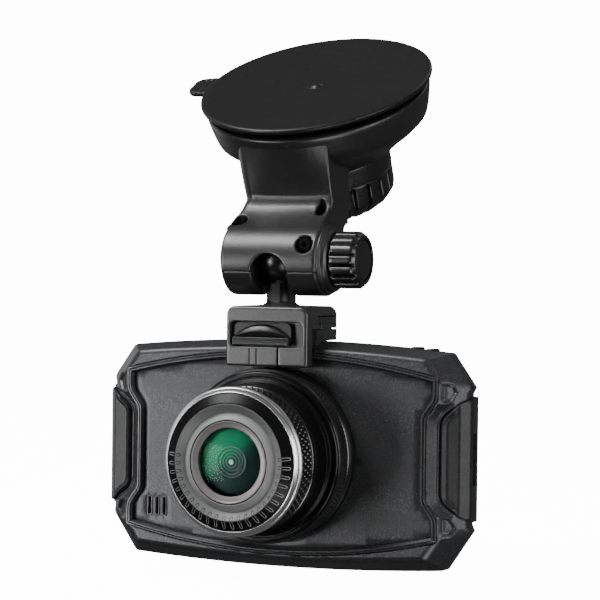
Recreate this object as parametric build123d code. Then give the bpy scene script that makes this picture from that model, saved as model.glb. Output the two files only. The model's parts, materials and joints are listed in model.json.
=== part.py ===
from build123d import *
import os
from math import cos, pi, radians, sin

# Frame: the origin is the middle of the suction cup's window face, +Z is up and the lens looks along -Y.
# Everything is in millimetres, and every driving dimension stands here.

# Suction cup and its twist knob, turned about the normal of the window face.
CUP_LEAN = 27.0  # degrees that the window face leans forward of level
CUP_RADIUS = 31.2
CUP_LIP = 1.8
HOUSING_RADIUS = 30.3
HOUSING_TOP = -3.4  # heights along the cup's axis are negative below the window face
HUB_TOP = -9.8
HUB_BORE = 4.3
STUD_RADIUS = 4.0
STUD_HEAD_RADIUS = 6.8
STUD_TRAVEL = 1.6
TWIST_RADIUS = 16.6
TWIST_TOP = -20.4
TWIST_BOTTOM = -38.0

# Arm and ball clamp. The clamp is turned about an axis along X through the ball.
BALL_CENTRE = (0.0, -21.0, -47.6)
BALL_RADIUS = 6.0
CLAMP_RADIUS = 9.5
CLAMP_HALF = 13.5
CLAMP_BORE = 7.7
BORE_HALF = 9.2
SEAM_DROP = 3.5  # how far the clamp's seam lies below the ball
SLOT_HALF = 4.9
ARM_FRONT = -17.5
ARM_REAR = -5.7
ARM_LEFT = -13.4
ARM_RIGHT = 12.6
ARM_TOP = -9.5
ARM_CREASE = -31.6
ARM_ROUND = 4.0
ARM_WALL_RADIUS = 29.95  # the arm's front carries on the housing's wall, round the cup's axis
COLLAR_END = 15.8
KNOB_END = 23.4
KNOB_RADIUS = 7.4
CLAMP_SCREW_RADIUS = 2.5
SHAFT_FIT = 0.05
PLATE_PLACE = 6.9
PLATE_THICK = 1.1
SCREW_SEATS = {
    # each screw's seat and the way its shank points
    "left": ((-11.4, -22.5, -40.2), (0, 0, -1)),
    "right": ((10.9, -19.0, -37.6), (0, 0, -1)),
    "front": ((10.3, -28.4, -43.0), (0, 1, 0)),
}

# Adapter that the camera's rail slides into.
ADAPTER_HALF = 11.5
ADAPTER_FRONT = -30.3
ADAPTER_LIP_REAR = -26.6
ADAPTER_REAR = -10.4
ADAPTER_TOP = -59.6
ADAPTER_BOTTOM = -75.1
GROOVE_BOTTOM = -65.3
RAIL_MIDDLE = -17.3
RAIL_NECK_HALF = 3.4
RAIL_HEAD_HALF = 5.4
RAIL_TOP = -62.3
RAIL_GAP = 0.2

# Camera case, in its own plane: across, up, and forward towards the scene.
CASE_CENTRE = (1.5, -24.0, -97.6)
CASE_TOP = (44.9, 26.9)
CASE_TOP_BOW = 2.3
CASE_BOTTOM = (44.0, 28.6)
CASE_BOTTOM_BOW = 1.7
CASE_SIDE = (50.9, 18.3)
CASE_NOTCH = (50.1, 16.7)
CREST_CORNER = (40.6, 25.4)
CREST_BOW = 2.0
CREST_SIDE = (45.2, 19.9)
CREST_NOTCH = (44.8, 17.2)
CASE_EDGE = -4.6  # where the sloped front meets the straight sides
CASE_SPLIT = -5.0
CASE_STRAIGHT = -8.8
CASE_BACK = -20.0
CASE_WALL = 1.8
FRAME_CREST = 1.6
FRAME_HOLLOW = -0.9
GRIP_FUNNEL = 2.7
PANEL_CORNER = (42.3, 19.5)
PANEL_WAIST = (39.1, 10.6)
PANEL_SHOULDER = 15.2
PANEL_CREST = 24.6
PANEL_THICK = 1.8
GRIP_INNER = (43.9, 10.6)
GRIP_OUTER = (51.3, 16.0)
GRIP_FACE = -1.0
GRIP_BAND = (48.9, -3.5)  # where the grip's outer slope starts, and how far back it reaches
SCREEN_SIZE = (60.0, 43.0)

# Lens, turned about its own axis; heights are forward of the case's front plane.
LENS_X = 0.0
LENS_Z = -98.1
LENS_FRONT = 28.7
BEZEL_REAR = 24.85
BEZEL_FRONT = 27.25
DISH_REAR = 26.6
LENS_SEAT = 22.5
BASE_RADIUS = 22.6
BARREL_RADIUS = 18.9
GLASS_RADIUS = 8.7
NOTCH_COUNT = 24
NOTCH_PITCH = 8.3  # degrees from one scale notch to the next

# Screws that hold the case together: across and up.
SCREW_POSTS = [(side * 38.0, level * 19.6) for side in (-1, 1) for level in (-1, 1)]

# Memory card and buttons.
CARD_SIZE = (15.0, 1.0, 11.0)
CARD_HOME = 35.6
CARD_FORWARD = -6.2
BUTTON_GAP = 0.25
KEY_RADIUS = 2.9
SPEAKER_PLACE = (24.0, -16.0)
USB_ACROSS = (-34.0, -26.0)
USB_FORWARD = (-9.5, -5.8)
TOP_BUTTONS = {"power_button": 35.2, "event_button": 39.3}
TOP_BUTTON_FORWARD = -7.0
MIC_SLOTS = (-37.5, -35.3, -33.2)
REAR_BUTTONS = {
    "up_button": (-38.6, 11.0),
    "ok_button": (-38.6, 0.0),
    "down_button": (-38.6, -11.0),
    "menu_button": (38.6, 6.0),
    "mode_button": (38.6, -6.0),
}

lean = radians(CUP_LEAN)
cup_plane = Plane(origin=(0, 0, 0), x_dir=(1, 0, 0), z_dir=(0, -sin(lean), cos(lean)))
clamp_plane = Plane(origin=BALL_CENTRE, x_dir=(0, 1, 0), z_dir=(1, 0, 0))
case_plane = Plane(origin=CASE_CENTRE, x_dir=(1, 0, 0), z_dir=(0, -1, 0))
lens_plane = Plane(origin=(LENS_X, CASE_CENTRE[1], LENS_Z), x_dir=(1, 0, 0), z_dir=(0, -1, 0))
side_plane = Plane(origin=(0, 0, 0), x_dir=(0, 1, 0), z_dir=(1, 0, 0))
front_plane = Plane(origin=(0, 0, 0), x_dir=(1, 0, 0), z_dir=(0, -1, 0))
lens_across = LENS_X - CASE_CENTRE[0]
lens_up = LENS_Z - CASE_CENTRE[2]


def turned(plane, *corners):
    """A solid of revolution about the plane's axis, from (radius, height) corners."""
    outline = Polyline(*[(radius, 0, height) for radius, height in corners], close=True)
    return plane.location * revolve(make_face(outline), Axis.Z)


def rod(plane, radius, low, high, across=0.0, up=0.0):
    """A round rod along the plane's axis between two heights."""
    middle = Pos(across, up, (low + high) / 2)
    return plane.location * middle * Cylinder(radius, high - low)


def tube(plane, outer, inner, low, high):
    return rod(plane, outer, low, high) - rod(plane, inner, low - 1, high + 1)


def block(x, y, z):
    """A box between two values of each of X, Y and Z."""
    size = [high - low for low, high in (x, y, z)]
    middle = [(high + low) / 2 for low, high in (x, y, z)]
    return Pos(*middle) * Box(*size)


def case_block(across, up, forward):
    """A box in the case's own plane."""
    return case_plane.location * block(across, up, forward)


def prism(plane, face, low, high):
    """A flat outline carried along the plane's axis from one height to another."""
    return plane.location * Pos(0, 0, low) * extrude(face, high - low, dir=(0, 0, 1))


def rounded(solid, axis, radius, keep=None):
    """The solid with its edges along an axis rounded, or only those that keep() picks."""
    edges = solid.edges().filter_by(axis)
    return fillet([edge for edge in edges if keep is None or keep(edge.center())], radius)


# Suction mount


def suction_cup():
    """Rubber disc with a flat rim, a shallow dish, a centre pip and a boss that holds the stud's head."""
    lip_low = -CUP_LIP
    cup = turned(
        cup_plane,
        (0, -1.2),
        (12, -0.9),
        (CUP_RADIUS - 2.6, 0),
        (CUP_RADIUS, 0),
        (CUP_RADIUS + 0.3, lip_low / 2),
        (CUP_RADIUS - 0.6, lip_low),
        (20, -2.8),
        (10.6, -3.4),
        (10.6, HUB_TOP),
        (STUD_RADIUS + 0.4, HUB_TOP),
        (STUD_RADIUS + 0.4, -8.2),
        (STUD_HEAD_RADIUS + 0.4, -8.2),
        (STUD_HEAD_RADIUS + 0.4, -3.6),
        (0, -3.6),
    )
    pip = turned(cup_plane, (0, -1.6), (1.8, -1.6), (1.0, -0.6), (0, -0.4))
    tab_middle = CUP_RADIUS + 1.6
    tab = cup_plane.location * Pos(-tab_middle, 0, -1.0) * Box(8.2, 11.0, 1.6)
    tab = fillet(tab.edges().filter_by(lambda edge: abs(edge.length - 1.6) < 0.01), 3.0)
    return cup + pip + tab


def cup_stud():
    """Stiff stud whose head is moulded into the cup; the twist knob draws it down."""
    head_top = -3.8
    head_bottom = head_top - 2.4
    return turned(
        cup_plane,
        (0, head_top),
        (STUD_HEAD_RADIUS, head_top),
        (STUD_HEAD_RADIUS, head_bottom),
        (STUD_RADIUS, head_bottom),
        (STUD_RADIUS, -33.0),
        (0, -33.0),
    )


def arm_column():
    """The arm from the cup's housing down to the clamp; below its crease it flares over the ball."""
    x, y, z = BALL_CENTRE
    outline = Polyline(
        (ARM_LEFT - 3.0, ARM_TOP),
        (ARM_LEFT, ARM_CREASE),
        (ARM_RIGHT, ARM_CREASE),
        (ARM_RIGHT, ARM_TOP),
        close=True,
    )
    upper = prism(front_plane, make_face(outline), -ARM_REAR, -ARM_FRONT)
    left_corner = [
        edge
        for edge in upper.edges().filter_by(GeomType.LINE)
        if ARM_LEFT - 3 < edge.center().X < ARM_LEFT and abs(edge.center().Y - ARM_FRONT) < 0.1
    ]
    upper = fillet(left_corner, ARM_ROUND)
    wall = rod(cup_plane, ARM_WALL_RADIUS, -2 * CUP_RADIUS, HOUSING_TOP - 1.6)
    upper += prism(front_plane, make_face(outline), -ARM_FRONT - 0.5, CUP_RADIUS) & wall
    nose = (-26.4, -39.7)
    flare = make_face(
        ThreePointArc((ARM_FRONT, ARM_CREASE), (-20.2, -37.0), nose)
        + Polyline(nose, (y, z), (-11.6, z), (-8.2, -38.0), (ARM_REAR, ARM_CREASE), (ARM_FRONT, ARM_CREASE))
    )
    return upper + prism(side_plane, flare, ARM_LEFT, ARM_RIGHT)


def clamp_slot():
    """Opening through the clamp's front and underside that lets the stem swing."""
    x, y, z = BALL_CENTRE
    seam = z - SEAM_DROP
    round_top = Pos(x, y - 10, seam) * Rot(90, 0, 0) * Cylinder(SLOT_HALF, 20)
    straight = block((x - SLOT_HALF, x + SLOT_HALF), (y - 20, y + 5.9), (seam - 20, seam))
    return round_top + straight


def clamp_hollow():
    """Bore for the ball and its seats, and the smaller bore for the knob's screw."""
    wide = rod(clamp_plane, CLAMP_BORE, -BORE_HALF, BORE_HALF)
    return wide + rod(clamp_plane, CLAMP_SCREW_RADIUS + SHAFT_FIT, 0, CLAMP_HALF + 2)


def clamp_body():
    shell = rod(clamp_plane, CLAMP_RADIUS, -CLAMP_HALF, CLAMP_HALF)
    return fillet(shell.edges().filter_by(GeomType.CIRCLE), 1.0)


def below_seam():
    x, y, z = BALL_CENTRE
    return block((-30, 30), (y - 20, y + 20), (z - 30, z - SEAM_DROP))


def screw_plane(name):
    seat, way = SCREW_SEATS[name]
    return Plane(origin=seat, z_dir=way)


def mount_housing():
    """Bell behind the cup, the arm and the clamp's upper half, moulded in one."""
    bell = turned(
        cup_plane,
        (0, HOUSING_TOP),
        (HOUSING_RADIUS - 0.5, HOUSING_TOP),
        (HOUSING_RADIUS, HOUSING_TOP - 1.0),
        (29.2, -9.6),
        (28.4, -12.0),
        (25.6, -14.3),
        (22.3, -16.6),
        (18.4, TWIST_TOP + 0.4),
        (0, TWIST_TOP + 0.4),
    )
    cavity = turned(
        cup_plane,
        (HUB_BORE, 5),
        (34, 5),
        (34, HOUSING_TOP),
        (27.6, HOUSING_TOP),
        (27.0, -10.2),
        (20.0, -14.6),
        (8.8, -15.0),
        (8.8, HUB_TOP),
        (HUB_BORE, HUB_TOP),
    )
    knob_room = rod(cup_plane, TWIST_RADIUS + 0.6, -60, TWIST_TOP + 0.4)
    solid = bell + arm_column() + (clamp_body() - below_seam())
    solid = solid - cavity - rod(cup_plane, HUB_BORE, -30, 5) - knob_room
    solid = solid - clamp_hollow() - clamp_slot()
    for name in SCREW_SEATS:
        solid = solid - rod(screw_plane(name), 2.1, -4.2, 0) - rod(screw_plane(name), 1.0, -1, 3.2)
    solid -= rod(screw_plane("right"), 1.2, -7.0, 0)
    return solid


def clamp_cover():
    """Lower shell of the clamp, below its seam."""
    return (clamp_body() & below_seam()) - clamp_hollow() - clamp_slot()


def clamp_end_cap():
    """Domed cap on the clamp's left end."""
    return turned(
        clamp_plane,
        (0, -CLAMP_HALF - 1.5),
        (5.5, -CLAMP_HALF - 1.3),
        (8.3, -CLAMP_HALF - 0.4),
        (8.5, -CLAMP_HALF),
        (0, -CLAMP_HALF),
    )


def clamp_collar():
    """Ring between the clamp and its knob, which keeps the knob's screw from moving endways."""
    bore = CLAMP_SCREW_RADIUS + SHAFT_FIT
    return turned(
        clamp_plane,
        (bore, CLAMP_HALF),
        (8.7, CLAMP_HALF),
        (8.7, CLAMP_HALF + 0.5),
        (8.3, CLAMP_HALF + 0.9),
        (8.3, COLLAR_END - 0.6),
        (7.8, COLLAR_END),
        (bore, COLLAR_END),
    )


def clamp_screws():
    """Cross-head screws at the bottom of the clamp's three recesses."""
    screws = []
    for name in SCREW_SEATS:
        plane = screw_plane(name)
        screw = rod(plane, 1.9, -1.3, 0) + rod(plane, 0.95, 0, 3.0)
        cross = plane.location * Pos(0, 0, -1.3) * (Box(2.4, 0.5, 1.4) + Box(0.5, 2.4, 1.4))
        screws.append(screw - cross)
    return screws


def ribbed(plane, radius, low, high, count, depth, width):
    """A round grip with straight grooves cut along its axis."""
    body = rod(plane, radius, low, high)
    groove = Cylinder(width / 2 + depth * 0.3, high - low + 2)
    groove = Pos(radius + width * 0.2, 0, (low + high) / 2) * groove
    cuts = [plane.location * Rot(0, 0, 360 * turn / count) * groove for turn in range(count)]
    return body - cuts


def twist_knob():
    """Knob under the housing; a smooth band above and a ribbed, domed grip below."""
    band_low = TWIST_TOP - 5.2
    grip = ribbed(cup_plane, TWIST_RADIUS - 0.6, TWIST_BOTTOM, band_low, 22, 0.9, 2.0)
    dome = turned(
        cup_plane,
        (0, band_low),
        (TWIST_RADIUS, band_low),
        (TWIST_RADIUS, -32.0),
        (14.6, -34.4),
        (12.2, -36.0),
        (8.4, -37.3),
        (0, TWIST_BOTTOM),
    )
    band = rod(cup_plane, TWIST_RADIUS, band_low, TWIST_TOP)
    bore = rod(cup_plane, STUD_RADIUS + SHAFT_FIT, -33.0 - STUD_TRAVEL - 0.8, TWIST_TOP + 1)
    hollow = tube(cup_plane, 13.4, 7.0, -31.0, TWIST_TOP + 1)
    return (grip & dome) + band - bore - hollow


def clamp_knob():
    """Ribbed knob that tightens the clamp on the ball."""
    grip = ribbed(clamp_plane, KNOB_RADIUS, COLLAR_END + 0.2, KNOB_END - 1.2, 15, 0.7, 1.5)
    nose = turned(
        clamp_plane,
        (0, KNOB_END - 1.2),
        (KNOB_RADIUS - 0.2, KNOB_END - 1.2),
        (6.3, KNOB_END),
        (5.4, KNOB_END),
        (5.4, KNOB_END - 0.8),
        (0, KNOB_END - 0.8),
    )
    return grip + nose - rod(clamp_plane, CLAMP_SCREW_RADIUS, 0, KNOB_END - 2.6)


def clamp_knob_cap():
    return rod(clamp_plane, 5.35, KNOB_END - 0.8, KNOB_END - 0.15)


def clamp_screw():
    """Screw fixed in the knob; its thread carries the pressure plate."""
    return rod(clamp_plane, CLAMP_SCREW_RADIUS, 6.5, KNOB_END - 2.6)


def pressure_plate():
    """Plate that slides in the bore and pushes the right seat against the ball."""
    outer, bore = CLAMP_BORE - 0.06, CLAMP_SCREW_RADIUS + SHAFT_FIT
    return tube(clamp_plane, outer, bore, PLATE_PLACE, PLATE_PLACE + PLATE_THICK)


def ball_seat_right():
    """Ring on the knob's side, with a coned hollow that bears on the ball."""
    outer = CLAMP_BORE - 0.06
    return turned(clamp_plane, (3.9, 4.75), (outer, 4.75), (outer, 6.6), (3.4, 6.6), (3.4, 5.2))


def ball_seat_left():
    """Matching ring on the far side, long enough to reach the bore's end."""
    outer = CLAMP_BORE - 0.06
    far = 0.1 - BORE_HALF
    return turned(clamp_plane, (3.9, -4.75), (outer, -4.75), (outer, far), (3.4, far), (3.4, -5.2))


def ball():
    """Ball of the joint, bored for the stem that turns in it."""
    bore = Pos(*BALL_CENTRE) * Pos(0, 0, -2.5) * Cylinder(2.05, 9.0)
    return Pos(*BALL_CENTRE) * Sphere(BALL_RADIUS) - bore


# Adapter


def ball_stem():
    """Stem with four fins and a flared foot; its pin turns in the ball."""
    x, y, z = BALL_CENTRE
    neck_top = z - BALL_RADIUS - 0.15
    pin = Pos(x, y, (z + 1.0 + neck_top) / 2) * Cylinder(2.0, z + 1.0 - neck_top)
    height = neck_top - ADAPTER_TOP
    middle = Pos(x, y, (neck_top + ADAPTER_TOP) / 2)
    fins = middle * (Box(7.4, 2.4, height) + Box(2.4, 7.4, height))
    core = middle * Cylinder(2.6, height)
    foot = Pos(x, y, ADAPTER_TOP + 0.6) * Cone(5.2, 3.4, 1.2)
    return pin + core + fins + foot


def adapter_housing():
    """Shoe on the ball's stem: a deep front lip, and behind it the groove for the camera's rail."""
    front = block(
        (-ADAPTER_HALF, ADAPTER_HALF), (ADAPTER_FRONT, ADAPTER_LIP_REAR), (ADAPTER_BOTTOM, ADAPTER_TOP)
    )
    top = block(
        (-ADAPTER_HALF, ADAPTER_HALF), (ADAPTER_LIP_REAR - 0.5, ADAPTER_REAR), (GROOVE_BOTTOM, ADAPTER_TOP)
    )
    shoe = front + top
    shoe = rounded(shoe, Axis.Y, 2.2, lambda place: place.Z > ADAPTER_TOP - 0.5)
    shoe = rounded(shoe, Axis.Y, 0.8, lambda place: place.Z < ADAPTER_BOTTOM + 0.5)
    shoe = rounded(shoe, Axis.Z, 0.6, lambda place: place.Y < ADAPTER_FRONT + 0.5)
    neck = RAIL_NECK_HALF + RAIL_GAP
    head = RAIL_HEAD_HALF + RAIL_GAP
    middle = RAIL_MIDDLE
    groove = block((-20, 20), (middle - neck, middle + neck), (GROOVE_BOTTOM - 1, -63.0))
    groove += block((-20, 20), (middle - head, middle + head), (-64.2, RAIL_TOP + RAIL_GAP))
    return shoe - groove - slider_window() - adapter_marks()


def slider_window():
    """Recess in the front lip, with a slot behind it for the latch's pawl."""
    recess = block((-10.4, 10.2), (ADAPTER_FRONT - 1, -27.6), (-70.1, -63.6))
    recess = rounded(recess, Axis.Y, 1.6)
    return recess + block((-4.2, 6.0), (-28, -26), (-67.5, -65.5))


def adapter_marks():
    """Index marks below the slider: a shallow double line where it locks and a slit where it frees."""
    marks = [
        block((x - 0.12, x + 0.12), (ADAPTER_FRONT - 1, ADAPTER_FRONT + 0.2), (-74.6, -70.4))
        for x in (-4.6, -2.6)
    ]
    slit = block((3.1, 3.5), (ADAPTER_FRONT - 1, ADAPTER_FRONT + 0.9), (-76, -70.0))
    return marks + [slit]


def release_slider():
    """Thumb slide in the adapter's recess, with a half-moon grip over two grooves."""
    plate = rounded(block((-10.1, 6.4), (-28.9, -27.9), (-69.8, -63.9)), Axis.Y, 1.5)
    crown = make_face(
        ThreePointArc((-9.9, -67.6), (-1.9, -64.3), (6.1, -67.6)) + Line((6.1, -67.6), (-9.9, -67.6))
    )
    crown = prism(front_plane, crown, 28.9, 30.6)
    foot = block((-9.9, 6.1), (-30.1, -28.9), (-69.7, -67.6))
    foot -= block((-12, 8), (-31, -29.7), (-69.1, -68.8))
    foot -= block((-12, 8), (-31, -29.7), (-68.3, -68.0))
    return plate + crown + foot


def latch_pawl():
    """Pawl behind the slider that catches the camera's rail block."""
    return block((-3.9, 2.2), (-27.9, -24.3), (-67.2, -65.8))


# Camera case


def eight_sided(top, top_bow, side, notch, bottom, bottom_bow):
    """Outline with bowed top and bottom, sloped corners, and sides notched for the grips."""
    right_side = [side, notch, (notch[0], -notch[1]), (side[0], -side[1])]
    half = [top, *right_side, (bottom[0], -bottom[1])]
    mirrored = [(-across, up) for across, up in reversed(half)]
    return make_face(
        ThreePointArc(mirrored[-1], (0, top[1] + top_bow), half[0])
        + Polyline(*half)
        + ThreePointArc(half[-1], (0, -bottom[1] - bottom_bow), mirrored[0])
        + Polyline(*mirrored)
    )


def case_outline(inset=0.0):
    """The case seen from in front, drawn in by a margin."""
    return eight_sided(
        (CASE_TOP[0] - 0.6 * inset, CASE_TOP[1] - inset),
        CASE_TOP_BOW,
        (CASE_SIDE[0] - inset, CASE_SIDE[1] - 0.5 * inset),
        (CASE_NOTCH[0] - inset, CASE_NOTCH[1] - 0.4 * inset),
        (CASE_BOTTOM[0] - 0.6 * inset, CASE_BOTTOM[1] - inset),
        CASE_BOTTOM_BOW,
    )


def crest_outline(inset=0.0):
    """Where the sloped front ends, just outside the panel's trim."""
    corner = (CREST_CORNER[0] - 0.6 * inset, CREST_CORNER[1] - inset)
    side = (CREST_SIDE[0] - inset, CREST_SIDE[1])
    return eight_sided(corner, CREST_BOW, side, (CREST_NOTCH[0] - inset, CREST_NOTCH[1]), corner, CREST_BOW)


def panel_outline(grow=0.0):
    """Waisted outline of the front panel."""
    x, z = PANEL_CORNER
    waist_x, waist_z = PANEL_WAIST
    shoulder = PANEL_SHOULDER
    face = make_face(
        ThreePointArc((-x, z), (0, PANEL_CREST), (x, z))
        + Polyline((x, z), (x, shoulder), (waist_x, waist_z), (waist_x, -waist_z), (x, -shoulder), (x, -z))
        + ThreePointArc((x, -z), (0, -PANEL_CREST), (-x, -z))
        + Polyline(
            (-x, -z), (-x, -shoulder), (-waist_x, -waist_z), (-waist_x, waist_z), (-x, shoulder), (-x, z)
        )
    )
    return face if grow == 0 else offset(face, grow, kind=Kind.INTERSECTION)


def grip_outline(side, grow=0.0):
    """Tapered outline of one side grip."""
    inner_x, inner_z = GRIP_INNER[0] - grow, GRIP_INNER[1] + grow * 0.8
    outer_x, outer_z = GRIP_OUTER[0] + grow, GRIP_OUTER[1] + grow
    return make_face(
        Polyline(
            (side * inner_x, inner_z),
            (side * outer_x, outer_z),
            (side * outer_x, -outer_z),
            (side * inner_x, -inner_z),
            close=True,
        )
    )


def between(low_face, low, high_face, high):
    """A solid that blends from one outline to another along the case's depth."""
    return case_plane.location * loft([Pos(0, 0, low) * low_face, Pos(0, 0, high) * high_face])


def front_frame():
    """Sloped frame round the front panel, with seats for the trim and the grips."""
    solid = prism(case_plane, case_outline(), CASE_SPLIT, CASE_EDGE)
    solid += between(case_outline(), CASE_EDGE, crest_outline(), FRAME_CREST)
    solid -= prism(case_plane, case_outline(CASE_WALL), CASE_SPLIT - 1, CASE_EDGE)
    solid -= between(case_outline(CASE_WALL), CASE_EDGE, crest_outline(0.7), FRAME_HOLLOW)
    solid -= prism(case_plane, panel_outline(), -5, 5)
    solid -= prism(case_plane, panel_outline(1.75), 0.2, 5)
    for side in (-1, 1):
        solid -= prism(case_plane, grip_outline(side, 0.05), CASE_SPLIT - 1, 5)
        mouth = grip_outline(side, GRIP_FUNNEL)
        solid -= between(grip_outline(side, 0.1), GRIP_FACE, mouth, FRAME_CREST + 0.2)
    return solid


def panel_trim():
    """Stepped lip that borders the front panel."""
    ring = prism(case_plane, panel_outline(1.7), 0.2, 2.0) - prism(case_plane, panel_outline(0.05), -1, 3)
    step = prism(case_plane, panel_outline(1.7), 1.5, 3) - prism(case_plane, panel_outline(1.0), -1, 4)
    inner_step = prism(case_plane, panel_outline(0.45), 1.2, 3)
    return ring - step - inner_step


def front_panel():
    """Gently crowned front panel, with the lens's hole and three microphone slots."""
    crown_radius = 735.0
    plate = prism(case_plane, panel_outline(-0.15), -PANEL_THICK - 0.8, 1.0)
    roller = Rot(90, 0, 0) * Cylinder(crown_radius, 80)
    crown = case_plane.location * Pos(0, 0, 0.5 - crown_radius) * roller
    plate = plate & crown
    plate += prism(case_plane, panel_outline(0.9), -PANEL_THICK - 0.8, -0.9)
    plate -= rod(case_plane, BASE_RADIUS + 0.1, -5, 5, lens_across, lens_up)
    for across in MIC_SLOTS:
        plate -= case_block((across - 0.5, across + 0.5), (-18.0, -13.2), (-5, 5))
    for across, up in SCREW_POSTS:
        plate += rod(case_plane, 2.2, -10.8, -PANEL_THICK - 0.8, across, up)
        plate -= rod(case_plane, 0.95, -11, -4.0, across, up)
    return plate


def grip(side):
    """Side grip with a flat face and a sloped outer band."""
    solid = prism(case_plane, grip_outline(side), CASE_SPLIT, GRIP_FACE)
    start, reach = GRIP_BAND
    edge = GRIP_OUTER[0]
    steep = (GRIP_FACE - reach) / (edge - start)
    slope = Polyline(
        (start, GRIP_FACE), (start, 1.0), (edge + 1, 1.0), (edge + 1, reach - steep), close=True
    )
    band_plane = Plane(origin=CASE_CENTRE, x_dir=(side, 0, 0), z_dir=(0, 0, -side))
    return solid - prism(band_plane, make_face(slope), -20, 20)


def rear_outline(inset):
    """Case outline behind the split, where the sides follow the grips."""
    bulge = Rectangle(2 * (GRIP_OUTER[0] - inset), 2 * (GRIP_OUTER[1] - inset))
    return case_outline(inset) + bulge


def rear_shell():
    """Rear casing: straight sides, then a taper to the back, and openings for screen, card and keys."""
    solid = prism(case_plane, rear_outline(0.1), CASE_STRAIGHT, CASE_SPLIT)
    solid += between(case_outline(5.4), CASE_BACK, case_outline(0.4), CASE_STRAIGHT)
    inner = case_outline(CASE_WALL + 0.3)
    room = prism(case_plane, inner, CASE_STRAIGHT, CASE_SPLIT + 1)
    room += between(case_outline(7.0), CASE_BACK + CASE_WALL, inner, CASE_STRAIGHT)
    solid -= room
    width, height = SCREEN_SIZE
    solid -= case_block((-width / 2, width / 2), (-height / 2, height / 2), (-25, -18.9))
    solid -= case_block((2 - width / 2, width / 2 - 2), (2 - height / 2, height / 2 - 2), (-25, -15))
    for across, up in REAR_BUTTONS.values():
        solid -= rod(case_plane, KEY_RADIUS + BUTTON_GAP, -25, -10, across, up)
    for across in TOP_BUTTONS.values():
        slot = (TOP_BUTTON_FORWARD - 1.7, TOP_BUTTON_FORWARD + 1.7)
        solid -= case_block((across - 1.6, across + 1.6), (20, 40), slot)
    for across, up in SCREW_POSTS:
        solid += rod(case_plane, 2.6, -18.4, -11.0, across, up)
        solid -= rod(case_plane, 2.0, -25, -18.6, across, up) + rod(case_plane, 1.0, -19, -10, across, up)
    slot_half = CARD_SIZE[2] / 2 + 1.2
    solid -= case_block((44, 60), (-slot_half, slot_half), (CARD_FORWARD - 0.9, CARD_FORWARD + 0.9))
    solid -= case_block(USB_ACROSS, (20, 40), USB_FORWARD)
    for start in (20.4, 23.4, 26.4):
        solid -= case_block((start, start + 1.2), (-33, -20), (-8.4, -6.0))
    return solid


def camera_rail():
    """Block that follows the case's roof, with the T-shaped rail that slides into the adapter."""
    low, top = CASE_CENTRE[2] + CASE_TOP[1] - 1.0, GROOVE_BOTTOM - 0.25
    base = block((-ADAPTER_HALF, ADAPTER_HALF), (-23.8, -10.6), (low, top))
    neck = block(
        (-ADAPTER_HALF, ADAPTER_HALF),
        (RAIL_MIDDLE - RAIL_NECK_HALF, RAIL_MIDDLE + RAIL_NECK_HALF),
        (top, -63.0),
    )
    head = block(
        (-ADAPTER_HALF, ADAPTER_HALF),
        (RAIL_MIDDLE - RAIL_HEAD_HALF, RAIL_MIDDLE + RAIL_HEAD_HALF),
        (-64.0, RAIL_TOP),
    )
    case = prism(case_plane, case_outline(), CASE_BACK, CASE_EDGE)
    case += between(case_outline(), CASE_EDGE, crest_outline(), FRAME_CREST)
    return base + neck + head - case


# Lens


def lens_base_ring():
    """Knurled base of the lens, held behind the panel by its flange; a web carries the lens holder."""
    return turned(
        lens_plane,
        (8.1, -3.6),
        (24.4, -3.6),
        (24.4, -2.65),
        (BASE_RADIUS, -2.65),
        (BASE_RADIUS, 8.4),
        (21.9, 9.3),
        (21.85, 8.35),
        (17.0, 8.35),
        (17.0, -2.2),
        (8.1, -2.2),
    )


def base_trim_ring():
    return turned(lens_plane, (20.3, 8.4), (21.8, 8.4), (21.8, 9.7), (21.5, 10.0), (20.3, 10.0))


def lens_barrel():
    """Smooth barrel, flared at its foot, with a sleeve that carries the rings in front."""
    return turned(
        lens_plane,
        (16.0, 8.4),
        (20.2, 8.4),
        (20.2, 9.9),
        (19.2, 10.5),
        (18.7, 16.4),
        (17.6, 16.4),
        (17.6, BEZEL_REAR - 0.05),
        (16.0, BEZEL_REAR - 0.05),
    )


def grip_ring():
    return tube(lens_plane, BARREL_RADIUS - 0.4, 17.65, 16.45, BEZEL_REAR - 0.05)


def chrome_ring():
    """Bright ring that slopes from the barrel's edge up to the front."""
    return turned(
        lens_plane,
        (17.35, BEZEL_REAR),
        (BARREL_RADIUS - 0.2, BEZEL_REAR),
        (BARREL_RADIUS, BEZEL_REAR + 0.3),
        (BARREL_RADIUS - 0.05, BEZEL_REAR + 0.7),
        (17.55, BEZEL_FRONT),
        (17.35, BEZEL_FRONT),
    )


def front_ring():
    """Black cone inside the bright ring, with a ledge for the scale ring."""
    return turned(
        lens_plane,
        (13.4, BEZEL_REAR),
        (17.3, BEZEL_REAR),
        (17.3, BEZEL_FRONT),
        (14.9, LENS_FRONT),
        (14.75, LENS_FRONT),
        (14.75, DISH_REAR),
        (13.4, DISH_REAR),
    )


def scale_ring():
    """Dished ring with even notches round its lower edge."""
    ring = turned(
        lens_plane,
        (12.5, DISH_REAR + 0.05),
        (14.7, DISH_REAR + 0.05),
        (14.7, LENS_FRONT),
        (14.5, LENS_FRONT),
        (12.5, BEZEL_FRONT),
    )
    first = -90.0 - NOTCH_PITCH * (NOTCH_COUNT - 1) / 2
    notch = Pos(14.5, 0, LENS_FRONT - 0.3) * Box(1.4, 0.7, 0.8)
    turns = [first + NOTCH_PITCH * index for index in range(NOTCH_COUNT)]
    cuts = [lens_plane.location * Rot(0, 0, turn) * notch for turn in turns]
    return ring - cuts


def cone_bezel():
    """Pale cone that rises from the dish to the glass."""
    return turned(
        lens_plane,
        (10.5, DISH_REAR - 1.0),
        (12.45, DISH_REAR),
        (12.45, BEZEL_FRONT),
        (10.8, LENS_FRONT - 0.2),
        (10.5, LENS_FRONT - 0.3),
    )


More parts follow.
